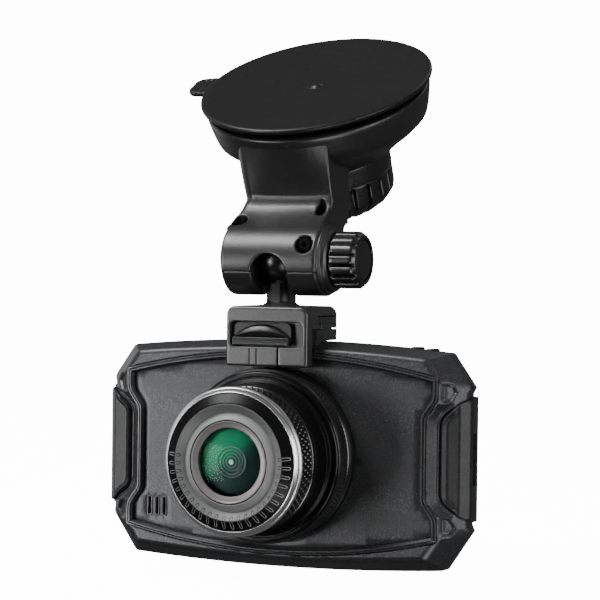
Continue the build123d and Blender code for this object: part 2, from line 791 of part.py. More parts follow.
def retaining_ring():
    back = DISH_REAR + 0.6
    return turned(
        lens_plane,
        (GLASS_RADIUS - 0.1, back + 0.35),
        (GLASS_RADIUS + 0.1, back),
        (10.4, back),
        (10.4, LENS_FRONT - 0.25),
        (10.1, LENS_FRONT - 0.2),
        (GLASS_RADIUS - 0.1, LENS_FRONT - 0.6),
    )


def front_lens():
    """Domed front glass."""
    dome_radius, back = 36.0, LENS_SEAT + 0.05
    dome = lens_plane.location * Pos(0, 0, LENS_FRONT - 0.4 - dome_radius) * Sphere(dome_radius)
    glass = rod(lens_plane, GLASS_RADIUS, back, DISH_REAR + 0.6)
    glass += rod(lens_plane, GLASS_RADIUS - 0.2, back, LENS_FRONT)
    return glass & dome


def lens_tube():
    """Threaded tube that holds the glass."""
    return turned(
        lens_plane,
        (5.0, -1.5),
        (6.95, -1.5),
        (6.95, 9.2),
        (10.3, 9.2),
        (10.3, DISH_REAR + 0.55),
        (GLASS_RADIUS + 0.05, DISH_REAR + 0.55),
        (GLASS_RADIUS + 0.05, LENS_SEAT),
        (6.2, LENS_SEAT),
        (6.2, 10.0),
        (5.0, 10.0),
    )


def inner_lenses():
    """The two glasses behind the front one."""
    middle = turned(lens_plane, (0, 11.4), (6.15, 12.4), (6.15, 14.6), (0, 16.4))
    rear = turned(lens_plane, (0, 0.6), (4.95, 1.4), (4.95, 3.4), (0, 4.6))
    return [middle, rear]


def lens_block(half_across, half_up, low, high):
    """A box centred on the lens's axis."""
    return lens_plane.location * block((-half_across, half_across), (-half_up, half_up), (low, high))


def lens_holder():
    """Square foot and threaded neck that hold the lens over the image sensor."""
    solid = lens_block(8.5, 8.5, -6.2, -3.65) + rod(lens_plane, 8.0, -3.7, 9.0)
    solid -= rod(lens_plane, 7.0, -3.0, 10)
    return solid - rod(lens_plane, 4.0, -7, 0) - lens_block(5.0, 5.0, -7, -4.6)


def ir_filter():
    return lens_block(4.6, 4.6, -5.1, -4.6)


def image_sensor():
    return lens_block(3.6, 3.1, -6.15, -5.5)


def sensor_board():
    return lens_block(11.0, 10.0, -7.2, -6.2)


# Inside the case, and what shows at its back and sides


def main_board():
    return case_block((-35, 35), (-20.5, 20.5), (-14.4, -13.2))


def battery():
    solid = case_block((-46, -29), (-10, 15), (-9.4, -5.4))
    return fillet(solid.edges().filter_by(Axis.Z), 1.2)


def speaker():
    magnet = rod(case_plane, 5.0, -6.4, -5.0, *SPEAKER_PLACE)
    return rod(case_plane, 6.8, -8.6, -6.4, *SPEAKER_PLACE) + magnet


def microphone():
    return rod(case_plane, 1.6, -4.1, -2.65, MIC_SLOTS[1], -15.4)


def display_window():
    width, height = SCREEN_SIZE
    across, up = width / 2 - 0.1, height / 2 - 0.1
    return case_block((-across, across), (-up, up), (CASE_BACK + 0.05, -18.95))


def lcd_panel():
    return case_block((-29.5, 29.5), (-20.9, 20.9), (-18.2, -15.2))


def rear_button(name):
    """Round key with a flange inside the rear wall."""
    across, up = REAR_BUTTONS[name]
    face = rod(case_plane, KEY_RADIUS, CASE_BACK - 0.7, -18.0, across, up)
    face = fillet(face.edges().group_by(Axis.Y)[-1], 0.4)
    return face + rod(case_plane, KEY_RADIUS + 0.7, -18.05, -17.2, across, up)


def top_button(name):
    """Small oblong key on the roof, with a flange inside."""
    across, middle = TOP_BUTTONS[name], TOP_BUTTON_FORWARD
    corner_x, corner_z = CASE_TOP
    roof = corner_z + CASE_TOP_BOW * (1 - (across / corner_x) ** 2)
    stem = case_block((across - 1.4, across + 1.4), (24.2, roof + 0.4), (middle - 1.5, middle + 1.5))
    stem = fillet(stem.edges().group_by(Axis.Z)[-1], 0.3)
    return stem + case_block((across - 1.8, across + 1.8), (23.7, 24.4), (middle - 1.9, middle + 1.9))


def card_socket():
    """Metal cage for the memory card."""
    half = CARD_SIZE[2] / 2
    cage = case_block((33.2, 46.4), (-half - 1.1, half + 1.1), (CARD_FORWARD - 1.1, CARD_FORWARD + 1.1))
    thick = CARD_SIZE[1] / 2 + 0.15
    return cage - case_block(
        (34.0, 50), (-half - 0.15, half + 0.15), (CARD_FORWARD - thick, CARD_FORWARD + thick)
    )


def memory_card():
    """Card pushed home in its socket, level with the case's side."""
    length, thick, width = CARD_SIZE
    return case_block(
        (CARD_HOME, CARD_HOME + length),
        (-width / 2, width / 2),
        (CARD_FORWARD - thick / 2, CARD_FORWARD + thick / 2),
    )


def usb_inlet():
    """Power inlet in the roof: a metal shell with a tongue."""
    left, right = USB_ACROSS
    rear, front = USB_FORWARD
    shell = case_block((left + 0.1, right - 0.1), (20.4, 27.4), (rear + 0.1, front - 0.1))
    room = case_block((left + 0.5, right - 0.5), (22.0, 30), (rear + 0.5, front - 0.5))
    tongue = case_block((left + 1.8, right - 1.8), (21.5, 27.0), (rear + 1.4, rear + 2.1))
    return shell - room + tongue


def case_screws():
    """Four cross-head screws through the rear casing into the panel's posts."""
    screws = []
    for across, up in SCREW_POSTS:
        screw = rod(case_plane, 1.8, -19.9, -18.6, across, up)
        screw += rod(case_plane, 0.9, -18.6, -5.0, across, up)
        cross = Pos(across, up, -20.0) * (Box(2.4, 0.5, 1.4) + Box(0.5, 2.4, 1.4))
        screws.append(screw - case_plane.location * cross)
    return screws


NODES = {
    "suction_cup": suction_cup,
    "mount_housing": mount_housing,
    "cup_stud": cup_stud,
    "twist_knob": twist_knob,
    "clamp_cover": clamp_cover,
    "clamp_end_cap": clamp_end_cap,
    "clamp_collar": clamp_collar,
    "clamp_screws": clamp_screws,
    "clamp_knob": clamp_knob,
    "clamp_knob_cap": clamp_knob_cap,
    "clamp_screw": clamp_screw,
    "pressure_plate": pressure_plate,
    "ball_seat_right": ball_seat_right,
    "ball_seat_left": ball_seat_left,
    "ball": ball,
    "ball_stem": ball_stem,
    "adapter_housing": adapter_housing,
    "release_slider": release_slider,
    "latch_pawl": latch_pawl,
    "front_frame": front_frame,
    "panel_trim": panel_trim,
    "front_panel": front_panel,
    "left_grip": lambda: grip(-1),
    "right_grip": lambda: grip(1),
    "rear_shell": rear_shell,
    "camera_rail": camera_rail,
    "lens_base_ring": lens_base_ring,
    "base_trim_ring": base_trim_ring,
    "lens_barrel": lens_barrel,
    "grip_ring": grip_ring,
    "chrome_ring": chrome_ring,
    "front_ring": front_ring,
    "scale_ring": scale_ring,
    "cone_bezel": cone_bezel,
    "retaining_ring": retaining_ring,
    "front_lens": front_lens,
    "inner_lenses": inner_lenses,
    "lens_tube": lens_tube,
    "lens_holder": lens_holder,
    "ir_filter": ir_filter,
    "image_sensor": image_sensor,
    "sensor_board": sensor_board,
    "main_board": main_board,
    "battery": battery,
    "speaker": speaker,
    "microphone": microphone,
    "display_window": display_window,
    "lcd_panel": lcd_panel,
    "card_socket": card_socket,
    "memory_card": memory_card,
    "usb_inlet": usb_inlet,
    "case_screws": case_screws,
}
NODES.update({name: lambda name=name: rear_button(name) for name in REAR_BUTTONS})
NODES.update({name: lambda name=name: top_button(name) for name in TOP_BUTTONS})

os.makedirs("parts", exist_ok=True)
for name, make in NODES.items():
    made = make()
    export_step(Compound(children=made) if isinstance(made, list) else made, f"parts/{name}.step")
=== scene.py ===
import json
from math import cos, pi, radians, sin

import bmesh
import bpy
import numpy as np
from mathutils import Matrix, Vector
from mathutils.geometry import delaunay_2d_cdt


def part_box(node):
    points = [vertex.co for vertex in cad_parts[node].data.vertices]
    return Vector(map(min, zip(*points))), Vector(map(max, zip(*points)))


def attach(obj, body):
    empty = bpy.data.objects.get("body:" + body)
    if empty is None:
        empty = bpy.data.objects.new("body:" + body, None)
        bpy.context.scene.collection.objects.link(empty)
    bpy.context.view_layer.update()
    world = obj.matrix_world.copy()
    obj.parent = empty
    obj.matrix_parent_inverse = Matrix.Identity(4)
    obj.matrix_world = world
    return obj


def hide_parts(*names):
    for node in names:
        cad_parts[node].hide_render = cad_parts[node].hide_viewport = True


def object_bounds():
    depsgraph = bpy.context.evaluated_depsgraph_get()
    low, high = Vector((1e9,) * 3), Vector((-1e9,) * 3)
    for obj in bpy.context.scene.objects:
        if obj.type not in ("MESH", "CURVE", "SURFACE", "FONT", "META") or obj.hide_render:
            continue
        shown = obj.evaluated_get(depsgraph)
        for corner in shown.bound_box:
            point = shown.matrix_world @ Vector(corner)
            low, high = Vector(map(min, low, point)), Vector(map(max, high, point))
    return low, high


# Lengths in this script are in millimetres until a mesh is made, and then metres.
MM = 0.001
MICRON = 0.000001

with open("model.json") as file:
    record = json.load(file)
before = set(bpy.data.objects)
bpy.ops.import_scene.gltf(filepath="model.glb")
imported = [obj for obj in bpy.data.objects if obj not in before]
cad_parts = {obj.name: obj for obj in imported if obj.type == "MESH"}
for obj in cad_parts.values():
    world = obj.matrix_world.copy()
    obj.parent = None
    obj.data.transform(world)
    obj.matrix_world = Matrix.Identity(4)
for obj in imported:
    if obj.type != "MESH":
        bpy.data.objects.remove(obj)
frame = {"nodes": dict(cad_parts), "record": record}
cad_low, cad_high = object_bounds()


def box_mm(node):
    low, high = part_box(node)
    return np.array(low) / MM, np.array(high) / MM


def middle_of(node):
    low, high = box_mm(node)
    return (low + high) / 2


# Reference points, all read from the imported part.
CUP_AXIS = np.array(next(m for m in frame["record"]["mounts"] if m["name"] == "suction_face")["axis"])
BALL = middle_of("ball")
LENS = middle_of("chrome_ring")
CASE_DEPTH = 20.0
case_rear = box_mm("rear_shell")[1][1]
CASE = np.array([middle_of("rear_shell")[0], case_rear - CASE_DEPTH, middle_of("display_window")[2]])

# Local frames: rows are the local X, Y and Z axes in the row frame.
CUP_FRAME = np.array([[1, 0, 0], np.cross(CUP_AXIS, [1, 0, 0]), CUP_AXIS])
CLAMP_FRAME = np.array([[0, 1, 0], [0, 0, 1], [1, 0, 0]], float)
FRONT_FRAME = np.array([[1, 0, 0], [0, 0, 1], [0, -1, 0]], float)


# ---------------------------------------------------------------- materials


MATERIALS = {}


class Surface:
    """A material in the making: a principled shader and the nodes that feed it."""

    def __init__(self, name):
        material = bpy.data.materials.new(name)
        material.use_nodes = True
        MATERIALS[name] = material
        self.nodes, self.links = material.node_tree.nodes, material.node_tree.links
        self.nodes.clear()
        output = self.add("OutputMaterial")
        self.shader = self.add("BsdfPrincipled")
        self.links.new(self.shader.outputs["BSDF"], output.inputs["Surface"])
        self.place = self.add("TexCoord").outputs["Object"]

    def add(self, kind, inputs=None):
        node = self.nodes.new("ShaderNode" + kind)
        self.feed(node, inputs or {})
        return node

    def feed(self, node, inputs):
        """Links a node's inputs to other nodes, or sets them to numbers and colours."""
        for name, value in inputs.items():
            if isinstance(value, bpy.types.NodeSocket):
                self.links.new(value, node.inputs[name])
            else:
                node.inputs[name].default_value = (*value, 1.0) if isinstance(value, tuple) else value

    def noise(self, scale, detail=2.0, rough=0.5, place=None):
        inputs = {"Vector": place or self.place, "Scale": scale, "Detail": detail, "Roughness": rough}
        return self.add("TexNoise", inputs).outputs["Fac"]

    def spread(self, value, low, high, start=0.3, end=0.7):
        """A value whose range from start to end is stretched to run from low to high."""
        inputs = {"Value": value, "From Min": start, "From Max": end, "To Min": low, "To Max": high}
        return self.add("MapRange", inputs).outputs["Result"]

    def mix(self, factor, dark, light):
        node = self.add("Mix")
        node.data_type = "RGBA"
        self.feed(node, {"Factor": factor, 6: dark, 7: light})
        return node.outputs[2]

    def bump(self, height, depth):
        return self.add("Bump", {"Strength": 1.0, "Distance": depth, "Height": height}).outputs["Normal"]

    def maths(self, operation, *values):
        node = self.add("Math")
        node.operation = operation
        self.feed(node, dict(enumerate(values)))
        return node.outputs[0]

    def ramp(self, factor, stops):
        """A colour ramp from a list of positions with colours."""
        node = self.add("ValToRGB", {"Fac": factor})
        elements = node.color_ramp.elements
        for element, (position, colour) in zip(elements, (stops[0], stops[-1])):
            element.position, element.color = position, (*colour, 1)
        for position, colour in stops[1:-1]:
            elements.new(position).color = (*colour, 1)
        return node.outputs["Color"]

    def lens_radius(self):
        """Distance from the lens's axis, and the position's coordinates."""
        split = self.add("SeparateXYZ", {"Vector": self.place}).outputs
        across = self.maths("SUBTRACT", split["X"], LENS[0] * MM)
        up = self.maths("SUBTRACT", split["Z"], LENS[2] * MM)
        squares = [self.maths("MULTIPLY", value, value) for value in (across, up)]
        return self.maths("SQRT", self.maths("ADD", *squares)), split


def shade(colour, factor):
    return tuple(min(1.0, value * factor) for value in colour)


def moulded(
    name, colour, rough, grain, relief, vary, fleck=0.0, metallic=0.0, coat=0.0, coat_rough=0.2, specular=0.5
):
    """Moulded or painted surface: broad variation in tone, fine grain in gloss and relief, bright flecks."""
    s = Surface(name)
    fine_grain = s.noise(grain, 3.0, 0.6)
    tone = s.mix(s.spread(s.noise(70.0), 0.25, 0.75), shade(colour, 1 - vary), shade(colour, 1 + vary))
    if fleck:
        flakes = s.noise(grain * 1.7, 1.0)
        tone = s.mix(s.spread(flakes, 0.0, 1.0, 0.55, 0.72), tone, shade(colour, 1 + fleck))
    gloss = s.spread(fine_grain, rough * 0.82, min(1.0, rough * 1.18))
    normal = s.bump(fine_grain, relief * MICRON)
    s.feed(s.shader, {"Base Color": tone, "Roughness": gloss, "Normal": normal, "Metallic": metallic})
    s.feed(s.shader, {"Coat Weight": coat, "Coat Roughness": coat_rough, "Specular IOR Level": specular})


def turned_metal(name, colour, rough):
    """Metal with fine turning marks round the lens's axis."""
    s = Surface(name)
    radius, split = s.lens_radius()
    along = s.add("CombineXYZ", {"X": radius, "Y": split["Y"]}).outputs[0]
    marks = s.noise(3600.0, place=along)
    s.feed(
        s.shader,
        {
            "Base Color": s.mix(marks, shade(colour, 0.9), colour),
            "Roughness": s.spread(marks, rough * 0.8, rough * 1.3),
            "Normal": s.bump(marks, 4 * MICRON),
            "Metallic": 1.0,
        },
    )


def coated_glass(name):
    """Front glass: clear, with a faint green coating and specks of dust."""
    s = Surface(name)
    dust = s.noise(900.0, 3.0)
    tint = s.mix(s.spread(dust, 0.0, 1.0), (0.72, 0.95, 0.86), (0.82, 1.0, 0.93))
    gloss = s.spread(dust, 0.01, 0.05, 0.45, 0.8)
    s.feed(s.shader, {"Base Color": tint, "Roughness": gloss, "Transmission Weight": 1.0, "IOR": 1.1})


GLASS_EDGE = 8.5  # radius of the front glass


def lens_depths_painted_reflections(name):
    """What is seen through the glass, with painted reflections: a painted green sheen above left that darkens
    to teal below right, painted light rings round the middle and a painted pinkish glint at its centre.
    """
    s = Surface(name)
    radius, split = s.lens_radius()
    # Painted sheen: green above left fading to dark teal below right, where the lights' reflection falls.
    slant = s.maths("MULTIPLY_ADD", split["X"], -0.75, split["Z"])
    slant = s.spread(slant, 0.0, 1.0, (LENS[2] - 5.0) * MM, (LENS[2] + 8.0) * MM)
    greens = [(0.12, (0.010, 0.018, 0.022)), (0.36, (0.008, 0.045, 0.04)), (0.55, (0.012, 0.17, 0.10))]
    tone = s.ramp(slant, [*greens, (0.8, (0.012, 0.30, 0.15))])
    # Painted pinkish glint at the centre and painted light rings round it, which stand for reflections of the
    # lights.
    levels = [(0.0, 1.0), (0.55, 1.0), (0.75, 0.0)]
    for ring, level in ((1.4, 0.2), (2.2, 0.2), (3.0, 0.22), (3.85, 0.32)):
        levels += [(ring - 0.2, 0.0), (ring, level), (ring + 0.2, 0.0)]
    stops = [(place / GLASS_EDGE, (level,) * 3) for place, level in [*levels, (GLASS_EDGE, 0.0)]]
    painted_glint_and_rings = s.ramp(s.spread(radius, 0.0, 1.0, 0.0, GLASS_EDGE * MM), stops)
    haze = s.noise(160.0)
    tone = s.mix(s.spread(haze, 0.0, 0.25), tone, (0.01, 0.03, 0.03))
    tone = s.mix(painted_glint_and_rings, tone, (0.95, 0.66, 0.8))
    s.feed(s.shader, {"Base Color": tone, "Roughness": s.spread(haze, 0.3, 0.4), "Specular IOR Level": 0.2})


# Name, colour, roughness, grain per metre, relief in microns, variation in tone, and what some have besides.
moulded("cup_rubber", (0.013, 0.013, 0.0135), 0.42, 900, 8, 0.15, specular=0.45)
moulded("mount_plastic", (0.017, 0.017, 0.018), 0.4, 2300, 30, 0.2, fleck=0.8, specular=0.9)
moulded("knob_plastic", (0.01, 0.01, 0.011), 0.32, 1800, 12, 0.2, specular=0.9)
moulded("ball_plastic", (0.02, 0.02, 0.021), 0.3, 900, 6, 0.15)
moulded("adapter_plastic", (0.06, 0.06, 0.061), 0.34, 1600, 12, 0.15, 0.4, 0.25, specular=0.9)
moulded("slider_plastic", (0.018, 0.018, 0.019), 0.33, 1500, 12, 0.15)
moulded("case_paint", (0.05, 0.051, 0.054), 0.38, 3000, 20, 0.12, fleck=2.2, metallic=0.35)
moulded("trim_paint", (0.09, 0.091, 0.094), 0.24, 2600, 10, 0.1, fleck=0.8, metallic=0.4)
moulded("grip_paint", (0.028, 0.0285, 0.03), 0.4, 2800, 30, 0.12, 1.6, 0.15, specular=0.4)
moulded("lens_black", (0.008, 0.008, 0.008), 0.3, 1400, 8, 0.15, specular=0.13)
moulded("knurl_black", (0.014, 0.014, 0.015), 0.22, 1400, 4, 0.15, specular=1.0)
moulded("grey_satin", (0.008, 0.008, 0.008), 0.22, 1600, 8, 0.08, metallic=0.3)
moulded("scale_grey", (0.2, 0.203, 0.205), 0.42, 1800, 8, 0.08)
moulded("cone_grey", (0.33, 0.34, 0.34), 0.45, 1700, 8, 0.06)
moulded("rim_metal", (0.3, 0.27, 0.27), 0.4, 1500, 6, 0.06, metallic=0.3)
moulded("mark_grey", (0.45, 0.45, 0.45), 0.45, 1700, 4, 0.06)
turned_metal("bright_chrome", (0.93, 0.93, 0.94), 0.26)
turned_metal("screw_steel", (0.06, 0.06, 0.062), 0.4)
# Black of the screws, also used as painted shade lining the screw recesses.
moulded("screw_black_and_pit_shade", (0.004, 0.004, 0.004), 0.6, 1200, 6, 0.2, specular=0.1)
moulded("seat_plastic", (0.5, 0.5, 0.48), 0.5, 900, 10, 0.05)
moulded("tube_metal", (0.02, 0.02, 0.02), 0.35, 1200, 10, 0.1, metallic=0.6)
coated_glass("lens_glass")
lens_depths_painted_reflections("lens_depths_painted_reflections")
moulded("screen_cover", (0.006, 0.006, 0.008), 0.1, 500, 1, 0.2, coat=1.0, coat_rough=0.03)
moulded("lcd", (0.02, 0.022, 0.026), 0.3, 900, 2, 0.2)
moulded("key_plastic", (0.02, 0.02, 0.021), 0.25, 900, 6, 0.15)
moulded("board_green", (0.02, 0.12, 0.05), 0.4, 700, 20, 0.3)
moulded("battery_foil", (0.5, 0.5, 0.52), 0.3, 500, 50, 0.1, metallic=1.0)
moulded("card_plastic", (0.02, 0.02, 0.021), 0.35, 1500, 10, 0.1)
moulded("socket_metal", (0.45, 0.45, 0.46), 0.3, 900, 10, 0.1, metallic=1.0)


# ---------------------------------------------------------------- mesh tools


def store(bm, mesh, crease):
    """Writes a mesh back with smooth faces. Edges sharper than crease degrees stay sharp."""
    for face in bm.faces:
        face.smooth = True
    for edge in bm.edges:
        if len(edge.link_faces) == 2:
            edge.smooth = edge.calc_face_angle() < radians(crease)
    bm.to_mesh(mesh)
    bm.free()


def linked(name, data):
    made = bpy.data.objects.new(name, data)
    bpy.context.scene.collection.objects.link(made)
    return made


def piece(name, points, faces, body, slot_name, replaces=(), crease=40, material=None):
    """A mesh from points in millimetres, riding on a body. Its material is named like its slot, or given."""
    mesh = bpy.data.meshes.new(name)
    mesh.from_pydata((np.asarray(points, float) * MM).tolist(), [], [list(map(int, face)) for face in faces])
    bm = bmesh.new()
    bm.from_mesh(mesh)
    bmesh.ops.remove_doubles(bm, verts=bm.verts, dist=1e-7)
    bmesh.ops.recalc_face_normals(bm, faces=bm.faces)
    store(bm, mesh, crease)
    mesh.materials.append(MATERIALS[material or slot_name])
    made = linked(name, mesh)
    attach(made, body)
    if replaces:
        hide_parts(*replaces)


def placed(local, origin, axes):
    """Local points turned into the row frame."""
    return np.asarray(origin) + np.asarray(local) @ np.asarray(axes)


def soft_corners(points, radius, steps=3, closed=False):
    """A polyline whose corners are rounded by short curves."""
    points = [np.array(point, float) for point in points]
    count = len(points)
    result = []
    for index, corner in enumerate(points):
        if not closed and index in (0, count - 1):
            result.append(corner)
            continue
        back, ahead = points[index - 1] - corner, points[(index + 1) % count] - corner
        back_length, ahead_length = np.linalg.norm(back), np.linalg.norm(ahead)
        reach = min(radius, 0.45 * back_length, 0.45 * ahead_length)
        start = corner + back / back_length * reach
        end = corner + ahead / ahead_length * reach
        for t in np.linspace(0, 1, steps + 1):
            result.append((1 - t) ** 2 * start + 2 * t * (1 - t) * corner + t * t * end)
    return np.array(result)


def grid_faces(rows, columns, close_rows):
    """Quads of a grid whose rows are closed rings of points."""
    faces = []
    for row in range(rows if close_rows else rows - 1):
        below, above = row * columns, ((row + 1) % rows) * columns
        for column in range(columns):
            following = (column + 1) % columns
            faces.append((below + column, below + following, above + following, above + column))
    return faces


def turned_piece(name, profile, origin, axes, *rest, count=128, relief=None, **more):
    """A closed profile (radius, height) turned round an axis. A relief function moves the radius."""
    profile = np.asarray(profile, float)
    radius = np.repeat(profile[:, :1], count, axis=1)
    height = np.repeat(profile[:, 1:], count, axis=1)
    turn = np.repeat(np.linspace(0, 2 * pi, count, endpoint=False)[None, :], len(profile), axis=0)
    if relief is not None:
        radius = radius + relief(turn, radius, height)
    local = np.stack([radius * np.cos(turn), radius * np.sin(turn), height], axis=-1).reshape(-1, 3)
    piece(name, placed(local, origin, axes), grid_faces(len(profile), count, True), *rest, **more)


def polygon_distance(px, py, corners):
    """Signed distance to a closed outline, negative inside."""
    corners = np.asarray(corners, float)
    best = np.full(px.shape, 1e9, np.float32)
    inside = np.zeros(px.shape, bool)
    for (ax, ay), (bx, by) in zip(corners, np.roll(corners, -1, axis=0)):
        ex, ey = bx - ax, by - ay
        length = ex * ex + ey * ey
        if length < 1e-12:
            continue
        t = np.clip(((px - ax) * ex + (py - ay) * ey) / length, 0, 1)
        dx, dy = px - ax - t * ex, py - ay - t * ey
        best = np.minimum(best, dx * dx + dy * dy)
        if ay != by:
            crosses = ((ay <= py) & (by > py)) | ((by <= py) & (ay > py))
            inside ^= crosses & (px < ax + (py - ay) / ey * ex)
    return np.where(inside, -1, 1) * np.sqrt(best)


# A field is a distance in millimetres that is negative inside a shape. Fields are joined by these functions.
both, either = np.maximum, np.minimum


def smax(a, b, k):
    """The larger of two fields, eased over a width."""
    h = np.maximum(k - np.abs(a - b), 0) / k
    return np.maximum(a, b) + h * h * k / 4


def round_max(a, b, radius):
    """Intersection of two fields with its convex edge rounded to a radius."""
    corner = np.hypot(np.maximum(a + radius, 0), np.maximum(b + radius, 0))
    return corner + np.minimum(np.maximum(a, b), -radius)


def round_min(a, b, radius):
    """Union of two fields with its inner corner filled to a radius."""
    return -round_max(-a, -b, radius)


def without(body, hole, radius=0.0):
    """A field with a hole cut into it. The hole's edge is rounded to a radius."""
    return round_max(body, -hole, radius) if radius else both(body, -hole)


def between(value, low, high):
    """Distance to a layer from a low to a high value."""
    return both(low - value, value - high)


def slab(value, middle, half):
    """Distance to a layer that reaches half its thickness to each side of its middle."""
    return np.abs(value - middle) - half


def rod_distance(p, start, axis, radius, low, high, k=0.3):
    """Distance to a round rod along an axis from low to high."""
    offset = p - np.asarray(start)
    along = offset @ np.asarray(axis, float)
    across = np.sqrt(np.maximum((offset * offset).sum(-1) - along * along, 0))
    return smax(across - radius, both(low - along, along - high), k)


def skin(field, low, high, step):
    """Mesh of the surface where a field is zero, by surface nets, with its points then moved onto it."""
    axes = [np.arange(low[i], high[i] + step, step) for i in range(3)]
    value = field(np.stack(np.meshgrid(*axes, indexing="ij"), axis=-1))
    inside = value < 0
    cells = tuple(size - 1 for size in value.shape)
    corners = [(i, j, k) for i in (0, 1) for j in (0, 1) for k in (0, 1)]
    full = np.zeros(cells, int)
    for corner in corners:
        full += inside[tuple(slice(c, c + n) for c, n in zip(corner, cells))]
    active = (full > 0) & (full < len(corners))
    where = np.argwhere(active)
    number = np.full(cells, -1, np.int64)
    number[active] = np.arange(len(where))
    total = np.zeros((len(where), 3))
    hits = np.zeros(len(where))
    for corner in corners:
        for axis in (axis for axis in range(3) if not corner[axis]):
            other = tuple(c + (a == axis) for a, c in enumerate(corner))
            first = value[tuple((where + corner).T)]
            second = value[tuple((where + other).T)]
            cut = (first < 0) != (second < 0)
            share = np.where(cut, first / np.where(cut, first - second, 1), 0)
            place = np.array(corner, float) + share[:, None] * np.eye(3)[axis]
            total += np.where(cut[:, None], place, 0)
            hits += cut
    points = np.array(low) + step * (where + total / hits[:, None])
    faces = []
    for axis in range(3):
        one, two = [a for a in range(3) if a != axis]
        edges = np.argwhere(np.diff(inside, axis=axis))
        keep = np.all(edges[:, [one, two]] > 0, axis=1)
        keep &= (edges[:, one] < cells[one]) & (edges[:, two] < cells[two])
        edges = edges[keep]
        ring = []
        for d_one, d_two in ((1, 1), (0, 1), (0, 0), (1, 0)):
            cell = edges.copy()
            cell[:, one] -= d_one
            cell[:, two] -= d_two
            ring.append(number[tuple(cell.T)])
        quad = np.stack(ring, axis=1)
        flip = inside[tuple(edges.T)] ^ (axis == 1)
        quad[flip] = quad[flip][:, ::-1]
        faces.append(quad)
    reach = 0.03
    for _ in range(2):
        slope = [(field(points + reach * e) - field(points - reach * e)) / (2 * reach) for e in np.eye(3)]
        slope = np.stack(slope, axis=-1)
        move = field(points)[:, None] * slope / np.maximum((slope * slope).sum(-1), 0.2)[:, None]
        points = points - np.clip(move, -0.5 * step, 0.5 * step)
    return points, np.concatenate(faces)


def skinned_piece(name, field, low, high, step, *rest, **more):
    piece(name, *skin(field, low, high, step), *rest, **more)


def softened(name, node, body, slot_name, width):
    """A copy of a CAD part with its sharp edges bevelled, which stands for it."""
    mesh = frame["nodes"][node].data.copy()
    mesh.materials.clear()
    mesh.materials.append(MATERIALS[slot_name])
    bm = bmesh.new()
    bm.from_mesh(mesh)
    bmesh.ops.remove_doubles(bm, verts=bm.verts, dist=2e-7)
    bmesh.ops.dissolve_limit(bm, angle_limit=radians(0.6), verts=bm.verts, edges=bm.edges)
    bm.to_mesh(mesh)
    bm.free()
    made = linked(name, mesh)
    bevel = made.modifiers.new("soft_edges", "BEVEL")
    bevel.width = width * MM
    bevel.segments = 2
    bevel.limit_method = "ANGLE"
    bevel.angle_limit = radians(28)
    bevel.use_clamp_overlap = True
    bpy.context.view_layer.update()
    shaped = bpy.data.meshes.new_from_object(made.evaluated_get(bpy.context.evaluated_depsgraph_get()))
    made.modifiers.clear()
    made.data = shaped
    bm = bmesh.new()
    bm.from_mesh(shaped)
    store(bm, shaped, 35)
    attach(made, body)
    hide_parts(node)


def miters(points):
    """Outward unit offsets of a closed outline at each of its points."""
    points = np.asarray(points, float)
    before = points - np.roll(points, 1, axis=0)
    after = np.roll(points, -1, axis=0) - points
    before /= np.linalg.norm(before, axis=1)[:, None]
    after /= np.linalg.norm(after, axis=1)[:, None]
    tangent = before + after
    tangent /= np.linalg.norm(tangent, axis=1)[:, None]
    normal = np.stack([-tangent[:, 1], tangent[:, 0]], axis=1)
    stretch = 1 / np.maximum((normal * np.stack([-before[:, 1], before[:, 0]], axis=1)).sum(1), 0.5)
    return normal * stretch[:, None]


def swept(outline, profile, origin, axes):
    """Points and faces of a closed profile (offset outwards, height) carried round a closed outline."""
    outline = np.asarray(outline, float)
    area = (outline[:, 0] * np.roll(outline[:, 1], -1) - np.roll(outline[:, 0], -1) * outline[:, 1]).sum()
    outward = miters(outline) * (-1 if area > 0 else 1)
    level = np.ones(len(outline))
    rows = [np.column_stack([outline + outward * offset, level * height]) for offset, height in profile]
    return placed(np.concatenate(rows), origin, axes), grid_faces(len(profile), len(outline), True)


def hump(distance, width):
    """A smooth hump of height 1 that falls off within about a width."""
    return np.exp(-((distance / width) ** 2))


def from_nearest(turn, count, shift=0.0):
    """Angle from the nearest of some evenly spaced places round an axis, shifted by part of their pitch."""
    pitch = 2 * pi / count
    return (turn + shift * pitch + pitch / 2) % pitch - pitch / 2


def fine(profile, step):
    """A profile with points no further apart than a step."""
    result = [np.array(profile[0], float)]
    for a, b in zip(profile, profile[1:]):
        a, b = np.array(a, float), np.array(b, float)
        parts = max(1, int(np.ceil(np.linalg.norm(b - a) / step)))
        result += [a + (b - a) * part / parts for part in range(1, parts + 1)]
    return np.array(result)


# ---------------------------------------------------------------- suction cup and its knob

CUP_ORIGIN = np.zeros(3)
TAB_ROOT, TAB_END, TAB_HALF = -30.0, -36.8, 5.4  # the pull tab reaches out to the left, and narrows
CUP_PROFILE = soft_corners(
    [
        (0.0001, -0.42), (0.9, -0.55), (1.9, -1.25), (3.4, -1.3), (12, -1.0), (24, -0.35), (28.6, -0.06),
        (30.9, 0.0), (31.5, -0.35), (31.45, -1.2), (30.8, -1.8), (29.5, -2.0), (20, -2.8), (10.6, -3.3),
        (10.6, -9.8), (4.4, -9.8), (4.4, -8.2), (7.2, -8.2), (7.2, -3.6), (0.0001, -3.6),
    ],
    0.5,
)
turned_piece(
    "cup_dish", CUP_PROFILE, CUP_ORIGIN, CUP_FRAME, "mount", "cup_rubber",
    count=192, replaces=("suction_cup",), crease=40,
)


